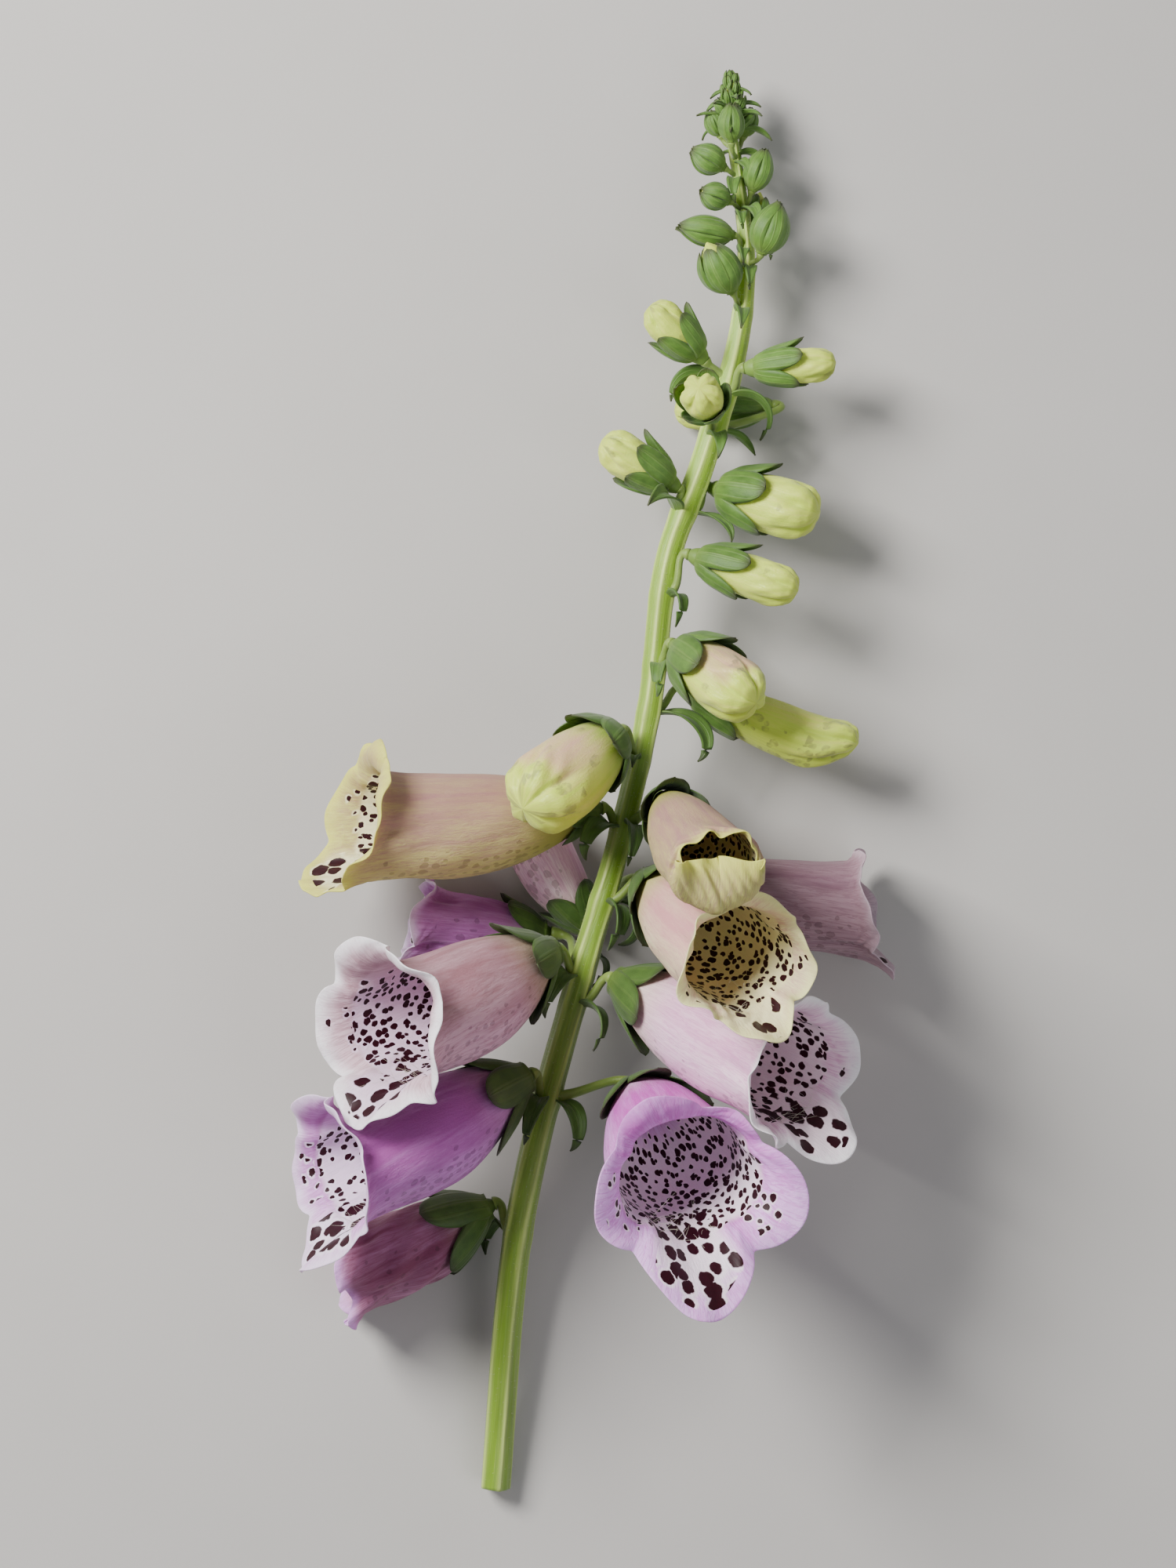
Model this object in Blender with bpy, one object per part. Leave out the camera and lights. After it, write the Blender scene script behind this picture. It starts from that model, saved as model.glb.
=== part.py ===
"""A foxglove flower spike, cut and laid on its back, in metres.

The tip points along +Y, +Z is up and the surface that it lies on is Z = 0. The plan is in
millimetres, measured from a point beside the stem. The empty "lying_spike" moves the finished
spike, so that the origin is under the middle of its bounding box.
"""

from collections import namedtuple
from math import atan2, cos, pi, radians, sin, tau

import bmesh
import bpy
from mathutils import Vector
from mathutils.geometry import interpolate_bezier

MM = 0.001

# Driving dimensions, in millimetres.
PETAL_WALL = 0.8
SEPAL_WALL = 0.8
FIT_GAP = 0.5
CUP_EASE = 1.06  # room for the facets of a calyx round those of its corolla
FLOOR_SHARE = 0.025  # where a corolla's round base ends, as a share of its length
CREASE = 50  # degrees from which an edge is shown sharp

PEDICEL_RADIUS = 1.1
SLIM_PEDICEL_RADIUS = 0.825
PEDICEL_ROOT = 0.3  # the first full ring, past the point where it leaves the stem
PEDICEL_BEND = 0.4  # how straight it leaves the stem and meets the calyx
PEDICEL_POINTS = 5
NODE_SPAN = 3  # the stretch of stem that gives its direction at a pedicel

CALYX_REACH = 0.24  # how far the sepals reach along a corolla, as a share of its length
BUD_CALYX_REACH = 0.5
LONGEST_BUD_CALYX = 11
SEPAL_NOTCH = 0.55  # how far up the cup the notches between the sepals are
CUP_OUTSIDE = (0.35, 0.75, 1.0)  # stations of the cup's two faces, as shares of its reach
CUP_INSIDE = (1.0, 0.7, 0.3)
CUP_FOOT_WALL = 0.48

BRACT_THICKNESS = 0.8
FLOWER_BRACT = 15
BUD_BRACT = 13
SMALL_BRACT_SHARE = 1.3  # length of a small bud's bract as a share of the bud's width
BRACT_SLIMNESS = 0.32
BRACT_ROOT = 0.9  # how far out from the stem it grows from the pedicel
BRACT_STATIONS = 4
BRACT_RISE = 35  # degrees towards the tip where it starts, then how far it bends back
BRACT_DROOP = 95
BRACT_END = -75

# Sides of each round form.
COROLLA_SIDES = 15
CALYX_SIDES = 10
STEM_SIDES = 10
STEM_RINGS = 34
STEM_SAMPLES = 400
RING_SPAN = 4  # samples on each side that give a ring's direction

# The stem's middle line from the cut end to the last flower bud: x, y, z and radius.
STEM_ROUTE = (
    (-41, -35, 3.5, 3.5),
    (-37, 15, 12, 3.4),
    (-31, 48, 18, 3.3),
    (-21, 85, 22, 3.1),
    (-12, 116, 23, 2.8),
    (-5, 147, 22, 2.8),
    (-1, 180, 20, 2.9),
    (7, 203, 17.5, 2.9),
    (14.5, 228, 15, 2.6),
    (17.4, 248, 13.5, 2.1),
    (16.4, 265, 12.6, 1.5),
    (14.2, 281, 12, 1.2),
)

# An open flower: where its pedicel leaves the stem (y), the base and the middle of the mouth, the
# throat's radius, the lengths of the lower, side and upper lobes, how far the lower and the upper
# lip turn outward in degrees, which way the lower lip points, the bract's turn round the stem in
# degrees, and whether the flower rests on the surface.
Flower = namedtuple("Flower", "node base mouth throat lobes turn lip bract rests")
FLOWERS = (
    Flower(26, (-43, 31, 14), (-71, 18, 17), 10, (10, 7, 5), (40, 80), (0, -1, 0.2), 60, True),
    Flower(58, (-34, 62, 27), (-73, 43, 45), 14, (16, 11, 8), (45, 90), (-0.2, -1, 0), -60, False),
    Flower(58, (-8, 59, 24), (3, 42, 57), 15.5, (22, 13, 8), (50, 105), (0, -1, 0), 60, False),
    Flower(80, (-12, 84, 26), (24, 66, 49), 13, (14, 8, 4), (30, 60), (0.7, -1, 0), 60, False),
    Flower(86, (-28, 91, 27), (-61, 76, 54), 14, (15, 11, 8), (45, 90), (-0.4, -1, 0.2), -60, False),
    Flower(87, (-30, 95, 7), (-55, 97, 11), 9, (7, 6, 5), (25, 60), (0, -1, 0.3), 60, True),
    Flower(91, (-19, 96, 13), (-33, 120, 9.5), 8, (6, 5, 4), (5, 15), (-1, 0, 0.2), 75, True),
    Flower(104, (-6, 107, 13), (41, 101, 16), 11.5, (12, 8, 6), (35, 75), (0, -1, 0), 60, True),
    Flower(103, (-6, 107, 28), (14, 91, 67), 12, (8, 6, 5), (15, 40), (0.2, -1, 0), 60, False),
    Flower(121, (-2, 126, 30), (9, 111, 80), 10, (7, 5, 5), (-35, -15), (0, -1, 0), 60, False),
    Flower(120, (-18, 124, 26), (-67, 120, 34), 13, (13, 9, 8), (20, 75), (0, -1, -0.5), -60, False),
)

# A closed corolla above the flowers: the pedicel's y on the stem, base, tip, width and bract.
Bud = namedtuple("Bud", "node base tip width bract rests")
LARGE_BUDS = (
    Bud(136, (-13, 141, 31), (-34, 124, 52), 19, -60, False),
    Bud(147, (5, 151, 17), (42, 136, 22), 12.5, 60, False),
    Bud(158, (1.5, 161, 28), (19, 148, 43), 14.5, -60, False),
    Bud(174, (6, 182, 24), (29, 174, 30), 10, 60, False),
    Bud(194, (11, 198, 16), (34, 192, 24), 13.5, 60, False),
    Bud(193, (0, 199, 21.5), (-16, 209, 25), 10, -60, False),
    Bud(213, (22, 218, 8), (1, 217, 5), 8.5, 60, True),
    Bud(221, (19, 226, 20), (38, 227, 23), 8, -60, False),
    Bud(211, (8.5, 216, 26), (6, 220, 39), 9.5, -60, False),
    Bud(224, (6.5, 229, 19), (-5, 240, 23), 9, 60, False),
)
SMALL_BUDS = (
    Bud(240, (14, 244, 19), (8, 255, 23), 9, -60, False),
    Bud(257, (19, 260, 9), (21, 268, 9), 5.5, 60, False),
)
GREEN_BUDS = (
    Bud(250, (21, 253, 18), (25, 264, 20), 8.4, 60, False),
    Bud(254, (14, 257, 17), (2, 259, 19), 6.2, -60, False),
    Bud(263, (13, 265, 17), (7, 267, 20), 5.5, 60, False),
    Bud(264, (19, 268, 14), (22, 277, 15), 6, 60, False),
    Bud(271, (12, 273, 15), (5, 277, 16), 6.2, -60, False),
    Bud(278, (11.5, 281, 12), (9, 286, 13), 3.4, 60, False),
    Bud(277, (17, 281, 10.5), (19, 287, 10), 3.8, 60, False),
    Bud(275, (14, 279, 17), (14, 287, 18), 4.8, -60, False),
)
# The tip's unopened buds: base, tip and width.
TIP_CORE = ((14.2, 281.5, 12), (14, 290, 12.2), 3.0)
TIP_BUDS = (
    ((14.1, 286, 12.2), (14, 295, 12.6), 3.6),
    ((13.2, 284, 13.2), (11.4, 292, 14.8), 3.0),
    ((15.2, 284, 12.6), (17.4, 291, 14), 3.0),
    ((14, 285, 11), (13, 292, 9), 3.0),
)

# Stations of a corolla: share of its length and radius as a share of the throat's.
TUBE_PROFILE = ((0.02, 0.2), (0.08, 0.33), (0.2, 0.52), (0.42, 0.74), (0.7, 0.88), (1.0, 1.0))
LIP_STATIONS = 2
BELLY = 0.14
LOBE_CENTRES = (0, 78, 150)  # degrees from the lower lip
LOBE_HALF_WIDTHS = (52, 44, 38)
LOBE_FULLNESS = 0.7
NOTCH = 4.0  # how far the mouth's edge stands out between two lobes
# A closed bud: share of its length and radius as a share of its half width.
BUD_PROFILE = ((0.03, 0.35), (0.12, 0.62), (0.3, 0.86), (0.55, 1.0), (0.78, 0.92), (0.94, 0.55))
GREEN_PROFILE = ((0.06, 0.4), (0.2, 0.78), (0.42, 1.0), (0.65, 0.88), (0.86, 0.45))


def clear_scene():
    for old in list(bpy.data.objects):
        bpy.data.objects.remove(old, do_unlink=True)


def make_material(name, colour, roughness):
    material = bpy.data.materials.new(name)
    material.use_nodes = True
    surface = material.node_tree.nodes["Principled BSDF"]
    surface.inputs["Base Color"].default_value = (*colour, 1.0)
    surface.inputs["Roughness"].default_value = roughness
    surface.inputs["Metallic"].default_value = 0.0
    return material


def skin(name, rings, start, end, material):
    """One closed body: the rings joined in order, drawn together to a point at each end."""
    mesh = bmesh.new()
    loops = [[mesh.verts.new(point * MM) for point in ring] for ring in rings]
    first = mesh.verts.new(start * MM)
    last = mesh.verts.new(end * MM)
    sides = len(loops[0])
    for k in range(sides):
        after = (k + 1) % sides
        mesh.faces.new((first, loops[0][after], loops[0][k]))
        mesh.faces.new((last, loops[-1][k], loops[-1][after]))
        for low, high in zip(loops, loops[1:]):
            mesh.faces.new((low[k], low[after], high[after], high[k]))
    bmesh.ops.triangulate(mesh, faces=mesh.faces)
    bmesh.ops.recalc_face_normals(mesh, faces=mesh.faces)
    data = bpy.data.meshes.new(name)
    mesh.to_mesh(data)
    mesh.free()
    data.materials.append(material)
    data.shade_smooth()
    data.set_sharp_from_angle(angle=radians(CREASE))
    body = bpy.data.objects.new(name, data)
    bpy.context.collection.objects.link(body)
    return body


def unite(body, helper):
    """Grows the helper's shape onto the body."""
    helper.hide_render = True
    helper.display_type = "WIRE"
    union = body.modifiers.new("grown_together", "BOOLEAN")
    union.operation = "UNION"
    union.object = helper


def between(table, x):
    """Straight interpolation in a table of (x, value)."""
    if x <= table[0][0]:
        return table[0][1]
    for (x0, v0), (x1, v1) in zip(table, table[1:]):
        if x <= x1:
            return v0 + (v1 - v0) * (x - x0) / (x1 - x0)
    return table[-1][1]


def spline(points, t):
    """A smooth curve through points, for t from 0 to 1."""
    place = min(max(t, 0.0), 1.0) * (len(points) - 1)
    i = min(int(place), len(points) - 2)
    u = place - i
    before, here = points[max(i - 1, 0)], points[i]
    ahead, after = points[i + 1], points[min(i + 2, len(points) - 1)]
    return [
        0.5 * (2 * b + (c - a) * u + (2 * a - 5 * b + 4 * c - d) * u**2 + (3 * b - a - 3 * c + d) * u**3)
        for a, b, c, d in zip(before, here, ahead, after)
    ]


STEM_LINE = [spline(STEM_ROUTE, k / STEM_SAMPLES) for k in range(STEM_SAMPLES + 1)]


def stem_at(y):
    """The stem's middle and its radius at a height y."""
    x, height, z, radius = min(STEM_LINE, key=lambda p: abs(p[1] - y))
    return Vector((x, height, z)), radius


def ring_round(centre, along, upward, radius, sides):
    """A ring of points whose first one lies towards upward."""
    first = (upward - upward.dot(along) * along).normalized()
    second = along.cross(first)
    return [
        centre + (first * cos(tau * k / sides) + second * sin(tau * k / sides)) * radius
        for k in range(sides)
    ]


class Seat:
    """Where a flower or a bud sits: its base, its axis, and the way to its lower lip."""

    def __init__(self, base, tip, lip=(0, -1, 0), lift=0.0):
        self.base = Vector(base) + Vector((0, 0, lift))
        span = Vector(tip) - Vector(base)
        self.length = span.length
        self.axis = span.normalized()
        lower = Vector(lip)
        self.lower = (lower - lower.dot(self.axis) * self.axis).normalized()
        self.side = self.axis.cross(self.lower)

    def point(self, along, out, angle):
        return (
            self.base
            + self.axis * along
            + (self.lower * cos(angle) + self.side * sin(angle)) * out
        )


def lobe_length(flower, angle):
    """How far the lips reach past the throat, by the angle from the lower lip."""
    away = abs((angle + pi) % tau - pi)
    reach = NOTCH
    for centre, half_width, length in zip(LOBE_CENTRES, LOBE_HALF_WIDTHS, flower.lobes):
        off = abs(away - radians(centre)) / radians(half_width)
        if off < 1:
            reach = max(reach, NOTCH + (length - NOTCH) * cos(off * pi / 2) ** LOBE_FULLNESS)
    return reach


def tube_radius(flower, share, angle):
    bulge = 1 + BELLY * cos(angle) * sin(pi * share)
    return flower.throat * between(((0.0, 0.0),) + TUBE_PROFILE, share) * bulge


def corolla_outline(flower, length, angle):
    """(distance along the axis, radius, slope) from the base to the lip's edge."""
    outline = []
    stations = [share for share, _ in TUBE_PROFILE]
    for i, share in enumerate(stations):
        low = stations[max(i - 1, 0)]
        high = stations[min(i + 1, len(stations) - 1)]
        rise = tube_radius(flower, high, angle) - tube_radius(flower, low, angle)
        slope = atan2(rise, length * (high - low))
        outline.append((length * share, tube_radius(flower, share, angle), slope))
    lower_turn, upper_turn = (radians(turn) for turn in flower.turn)
    turn = lower_turn + (upper_turn - lower_turn) * (1 - cos(angle)) / 2
    step = lobe_length(flower, angle) / LIP_STATIONS
    along, out, start = outline[-1]
    for k in range(LIP_STATIONS):
        slope = start + turn * (k + 0.5) / LIP_STATIONS
        along += step * cos(slope)
        out += step * sin(slope)
        outline.append((along, out, slope))
    return outline


def corolla_rings(flower, seat):
    """The rings of the outer face from base to edge, then of the inner face back to the base."""
    outer, inner = [], []
    for k in range(COROLLA_SIDES):
        angle = tau * k / COROLLA_SIDES
        outline = corolla_outline(flower, seat.length, angle)
        outer.append([seat.point(a, r, angle) for a, r, _ in outline])
        inner.append(
            [
                seat.point(a + PETAL_WALL * sin(s), r - PETAL_WALL * cos(s), angle)
                for a, r, s in outline
            ]
        )
    rings = [list(ring) for ring in zip(*outer)]
    back = [list(ring) for ring in zip(*inner)]
    return rings + back[:0:-1]


def pedicel_route(node, seat):
    """Points from just off the stem to the base of a calyx, and the way out of the stem."""
    centre, radius = stem_at(node)
    above, _ = stem_at(node + NODE_SPAN)
    below, _ = stem_at(node - NODE_SPAN)
    along = (above - below).normalized()
    out = seat.base - centre
    out = (out - out.dot(along) * along).normalized()
    start = centre + out * (radius + FIT_GAP)
    foot = seat.base - seat.axis * (SEPAL_WALL + 2 * FIT_GAP)
    bend = (foot - start).length * PEDICEL_BEND
    route = interpolate_bezier(
        start, start + out * bend, foot - seat.axis * bend, foot, PEDICEL_POINTS
    )
    return [Vector(point) for point in route], out, along


def calyx_body(name, node, seat, girth, reach, material):
    """A pedicel that widens into a cup of five sepals. girth(share, angle) is what it holds."""
    route, out, along = pedicel_route(node, seat)
    rings = []
    for i in range(len(route) - 1):
        heading = (route[i + 1] - route[i]).normalized()
        centre = route[i] + heading * (PEDICEL_ROOT if i == 0 else 0)
        rings.append(ring_round(centre, heading, seat.lower, PEDICEL_RADIUS, CALYX_SIDES))
    angles = [tau * k / CALYX_SIDES for k in range(CALYX_SIDES)]

    def held(share, angle):
        return girth(share, angle) * CUP_EASE + FIT_GAP

    def cup(share_of_reach, wall):
        ring = []
        for k, angle in enumerate(angles):
            share = reach * (1.0 if k % 2 == 0 else SEPAL_NOTCH) * share_of_reach
            ring.append(seat.point(seat.length * share, held(share, angle) + wall, angle))
        return ring

    def floor_ring(along, wall):
        return [seat.point(along, held(FLOOR_SHARE, angle) + wall, angle) for angle in angles]

    rings.append(floor_ring(-SEPAL_WALL - FIT_GAP / 2, CUP_FOOT_WALL))
    rings += [cup(share, SEPAL_WALL) for share in CUP_OUTSIDE]
    rings += [cup(share, 0.0) for share in CUP_INSIDE]
    rings.append(floor_ring(-FIT_GAP / 3, 0.0))
    body = skin(name, rings, route[0], seat.base - seat.axis * FIT_GAP, material)
    return body, route[0], out, along


def bract_body(name, start, out, along, turn, length, material):
    """A pointed leaf that leaves the stem below a pedicel and bends back."""
    across = out.cross(along)
    heading = out * cos(radians(turn)) + across * sin(radians(turn))
    stride = length / (BRACT_STATIONS + 1)
    place = start.copy()
    rings = []
    for k in range(1, BRACT_STATIONS + 1):
        pitch = radians(BRACT_RISE - BRACT_DROOP * k / BRACT_STATIONS)
        step = heading * cos(pitch) + along * sin(pitch)
        place = place + step * stride
        flat = step.cross(along).normalized()
        normal = flat.cross(step).normalized()
        half = length * BRACT_SLIMNESS / 2 * sin(pi * (k / (BRACT_STATIONS + 1)) ** 0.8)
        rings.append(
            [
                place + flat * half,
                place + normal * BRACT_THICKNESS / 2,
                place - flat * half,
                place - normal * BRACT_THICKNESS / 2,
            ]
        )
    pitch = radians(BRACT_END)
    tip = place + (heading * cos(pitch) + along * sin(pitch)) * stride
    return skin(name, rings, start, tip, material)


def add_bract(body, bud, start, out, along, length, material):
    axil = start + out * BRACT_ROOT
    leaf = bract_body(body.name + "_bract", axil, out, along, bud.bract, length, material)
    unite(body, leaf)


def resting_lift(points, wrap=0.0):
    """How far to lift a flower so that its lowest point, or what wraps it, is on the surface."""
    return wrap - min(point.z for point in points)


def build_flower(number, flower, petal, green):
    seat = Seat(flower.base, flower.mouth, flower.lip)
    if flower.rests:
        lowest = [point for ring in corolla_rings(flower, seat) for point in ring]
        seat = Seat(flower.base, flower.mouth, flower.lip, resting_lift(lowest))
    rings = corolla_rings(flower, seat)
    inner_foot = seat.base + seat.axis * (seat.length * TUBE_PROFILE[0][0] + PETAL_WALL)
    skin(f"corolla_{number:02d}", rings, seat.base, inner_foot, petal)

    def girth(share, angle):
        return tube_radius(flower, share, angle)

    body, start, out, along = calyx_body(
        f"calyx_{number:02d}", flower.node, seat, girth, CALYX_REACH, green
    )
    add_bract(body, flower, start, out, along, FLOWER_BRACT, green)


def bud_rings(bud, seat, profile):
    return [
        [
            seat.point(seat.length * share, bud.width / 2 * girth, tau * k / CALYX_SIDES)
            for k in range(CALYX_SIDES)
        ]
        for share, girth in profile
    ]


def bud_seat(bud, profile, wrap=0.0):
    seat = Seat(bud.base, bud.tip)
    if not bud.rests:
        return seat
    lowest = [point for ring in bud_rings(bud, seat, profile) for point in ring]
    return Seat(bud.base, bud.tip, lift=resting_lift(lowest, wrap))


def build_large_bud(number, bud, petal, green):
    seat = bud_seat(bud, BUD_PROFILE, SEPAL_WALL)
    tip = seat.base + seat.axis * seat.length
    skin(f"bud_{number:02d}", bud_rings(bud, seat, BUD_PROFILE), seat.base, tip, petal)

    def girth(share, angle):
        return bud.width / 2 * between(((0.0, 0.0),) + BUD_PROFILE, share)

    reach = min(BUD_CALYX_REACH, LONGEST_BUD_CALYX / seat.length)
    body, start, out, along = calyx_body(
        f"bud_calyx_{number:02d}", bud.node, seat, girth, reach, green
    )
    add_bract(body, bud, start, out, along, BUD_BRACT, green)


def build_small_bud(name, bud, material):
    """A bud whose calyx still hides the petals, in one piece with its pedicel."""
    seat = bud_seat(bud, GREEN_PROFILE)
    route, out, along = pedicel_route(bud.node, seat)
    rings = [
        ring_round(here, (ahead - here).normalized(), seat.lower, SLIM_PEDICEL_RADIUS, CALYX_SIDES)
        for here, ahead in zip(route[1:], route[2:])
    ]
    rings += bud_rings(bud, seat, GREEN_PROFILE)
    body = skin(name, rings, route[0], seat.base + seat.axis * seat.length, material)
    add_bract(body, bud, route[0], out, along, bud.width * SMALL_BRACT_SHARE, material)


def build_stem(material):
    rings = []
    steps = len(STEM_LINE) - 1
    for k in range(STEM_RINGS):
        i = round(steps * k / (STEM_RINGS - 1))
        *centre, radius = STEM_LINE[i]
        ahead = Vector(STEM_LINE[min(i + RING_SPAN, steps)][:3])
        behind = Vector(STEM_LINE[max(i - RING_SPAN, 0)][:3])
        heading = (ahead - behind).normalized()
        rings.append(ring_round(Vector(centre), heading, Vector((0, 0, 1)), radius, STEM_SIDES))
    first, last = Vector(STEM_LINE[0][:3]), Vector(STEM_LINE[-1][:3])
    skin("stem", rings, first, last, material)


def tip_bud(name, base, tip, width, material):
    bud = Bud(0, base, tip, width, 0, False)
    seat = Seat(base, tip)
    rings = bud_rings(bud, seat, GREEN_PROFILE)
    return skin(name, rings, seat.base, seat.base + seat.axis * seat.length, material)


def build_tip(material):
    cluster = tip_bud("tip_cluster", *TIP_CORE, material)
    for number, (base, tip, width) in enumerate(TIP_BUDS, 1):
        unite(cluster, tip_bud(f"tip_bud_{number}", base, tip, width, material))


def settle_origin():
    """Puts the origin under the middle of the spike."""
    graph = bpy.context.evaluated_depsgraph_get()
    corners = []
    for body in bpy.context.collection.objects:
        if body.hide_render or body.type != "MESH":
            continue
        shape = body.evaluated_get(graph).to_mesh()
        corners += [vertex.co.copy() for vertex in shape.vertices]
        body.evaluated_get(graph).to_mesh_clear()
    low = [min(corner[i] for corner in corners) for i in range(3)]
    high = [max(corner[i] for corner in corners) for i in range(3)]
    spike = bpy.data.objects.new("lying_spike", None)
    bpy.context.collection.objects.link(spike)
    for body in bpy.context.collection.objects:
        if body is not spike:
            body.parent = spike
    spike.location = (-(low[0] + high[0]) / 2, -(low[1] + high[1]) / 2, -low[2])


clear_scene()
STEM_GREEN = make_material("stem_green", (0.30, 0.42, 0.06), 0.5)
CALYX_GREEN = make_material("calyx_green", (0.10, 0.22, 0.04), 0.6)
BUD_CREAM = make_material("bud_cream", (0.62, 0.64, 0.25), 0.55)
PETAL_LILAC = make_material("petal_lilac", (0.62, 0.38, 0.66), 0.55)
PETAL_CREAM = make_material("petal_cream", (0.80, 0.74, 0.55), 0.55)
YOUNG_FLOWERS = 3  # the uppermost open flowers are still cream

build_stem(STEM_GREEN)
build_tip(CALYX_GREEN)
for place, bloom in enumerate(FLOWERS, 1):
    young = place > len(FLOWERS) - YOUNG_FLOWERS
    build_flower(place, bloom, PETAL_CREAM if young else PETAL_LILAC, CALYX_GREEN)
for place, closed in enumerate(LARGE_BUDS, 1):
    build_large_bud(place, closed, BUD_CREAM, CALYX_GREEN)
for place, closed in enumerate(SMALL_BUDS, 1):
    build_small_bud(f"small_bud_{place:02d}", closed, CALYX_GREEN)
for place, closed in enumerate(GREEN_BUDS, 1):
    build_small_bud(f"green_bud_{place:02d}", closed, CALYX_GREEN)
settle_origin()
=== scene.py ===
"""The looks of a cut foxglove spike that lies on its back, in millimetres unless a name says else.

Every bell, calyx, bud and bract is grown here from the same plan as the CAD part: a seat (foot,
axis, way to the lower lip), a profile and a few lobes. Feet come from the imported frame.
"""

import math
from collections import namedtuple

import bpy
import numpy as np
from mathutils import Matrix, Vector


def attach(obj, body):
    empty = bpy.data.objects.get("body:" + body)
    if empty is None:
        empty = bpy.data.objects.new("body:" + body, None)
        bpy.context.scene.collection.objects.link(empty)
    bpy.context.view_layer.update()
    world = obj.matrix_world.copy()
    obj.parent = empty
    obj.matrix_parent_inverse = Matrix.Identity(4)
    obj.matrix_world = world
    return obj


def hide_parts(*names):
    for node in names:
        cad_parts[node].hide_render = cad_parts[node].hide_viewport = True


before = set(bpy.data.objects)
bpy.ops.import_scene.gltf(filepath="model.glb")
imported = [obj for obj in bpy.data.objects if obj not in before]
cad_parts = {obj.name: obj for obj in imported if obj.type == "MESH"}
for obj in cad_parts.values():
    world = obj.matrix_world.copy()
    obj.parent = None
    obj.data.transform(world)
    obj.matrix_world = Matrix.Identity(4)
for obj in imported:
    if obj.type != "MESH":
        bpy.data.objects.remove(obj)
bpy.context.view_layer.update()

MM = 0.001
TAU = math.tau

# ---------------------------------------------------------------- plan

STEM_ROUTE = (
    (-41, -35, 3.5, 3.5),
    (-37, 15, 12, 3.4),
    (-31, 48, 18, 3.3),
    (-21, 85, 22, 3.1),
    (-12, 116, 23, 2.8),
    (-5, 147, 22, 2.8),
    (-1, 180, 20, 2.9),
    (7, 203, 17.5, 2.9),
    (14.5, 228, 15, 2.6),
    (17.4, 248, 13.5, 2.1),
    (16.4, 265, 12.6, 1.5),
    (14.2, 281, 12, 1.2),
)

# An open bell: node on the stem, foot, middle of the mouth, throat radius, way to the lower lip,
# reach and curl of the five lobes (lower, right, left, upper right, upper left), half the lower
# lobe's width in degrees, how pointed it is, height of the frill and of the creases, slant of the
# mouth, look, and how the bract leaves (turn, length, droop).
Bell = namedtuple("Bell", "node base mouth throat lip reach curl wide point frill crumple slant look bract")
BELLS = (
    Bell(26, (-43, 31, 14), (-71, 18, 17), 10.5, (0, -1, 0.2), (9, 8, 9, 7, 7),
         (20, -30, 40, 50, 60), 46, 0.5, 1.2, 1.3, 0.05, "rose", (60, 14, 110)),
    Bell(58, (-34, 62, 27), (-73, 43, 45), 14, (-0.2, -1, 0), (18, 9, 9, 10, 9),
         (30, 70, 50, 85, 70), 50, 0.85, 1.3, 0.3, 0.07, "purple", (-60, 14, 120)),
    Bell(58, (-8, 59, 24), (3, 42, 57), 15, (0, -1, 0), (26, 16, 14, 5, 12),
         (38, 65, 62, 60, 105), 62, 1.2, 1.2, 0.25, 0.08, "lilac", (60, 13, 130)),
    Bell(80, (-12, 84, 26), (24, 66, 49), 13, (0.7, -1, 0), (17, 10, 11, 9, 9),
         (30, 45, 40, 60, 60), 50, 0.8, 1.6, 0.3, 0.10, "pink", (60, 14, 110)),
    Bell(86, (-28, 91, 27), (-61, 76, 54), 14.5, (-0.4, -1, 0.2), (17, 15, 11, 12, 12),
         (28, 80, 50, 70, 85), 48, 0.6, 2.0, 0.3, 0.08, "dusty", (-60, 14, 130)),
    Bell(87, (-30, 95, 7), (-55, 97, 11), 9, (0, -1, 0.3), (8, 7, 6, 5, 5),
         (25, 30, 20, 50, 50), 46, 0.7, 1.0, 0.5, 0.05, "purple", (60, 13, 150)),
    Bell(91, (-19, 96, 13), (-33, 120, 9.5), 8, (-1, 0, 0.2), (6, 5, 5, 4, 4),
         (5, 10, 10, 15, 15), 46, 0.7, 0.5, 0.3, 0.03, "pink", (75, 12, 150)),
    # The eighth bell lies behind the others; its look is a greyed, darkened petal colour that paints the
    # shade it lies in.
    Bell(104, (-6, 107, 13), (41, 101, 16), 11.5, (0, -1, 0), (12, 8, 8, 6, 6),
         (35, 50, 50, 75, 75), 46, 0.7, 1.2, 0.4, 0.05, "painted_shade", (60, 14, 150)),
    Bell(103, (-6, 107, 28), (14, 91, 67), 12, (0.2, -1, 0), (14, 8, 9, 8, 6),
         (15, 30, 35, 40, 45), 50, 0.7, 1.5, 0.3, 0.10, "cream", (60, 14, 140)),
    Bell(121, (-2, 126, 30), (9, 111, 80), 10, (0, -1, 0), (14, 6, 6, 4, 4),
         (-140, -85, -85, -15, -15), 92, 0.5, 0.9, 0.5, 0.04, "olive", (60, 13, 120)),
    Bell(120, (-18, 124, 26), (-67, 120, 34), 13, (0, -1, -0.5), (16, 10, 10, 11, 11),
         (15, 15, 25, 150, 150), 60, 0.6, 1.1, 0.3, 0.06, "olive", (-60, 14, 120)),
)

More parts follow.
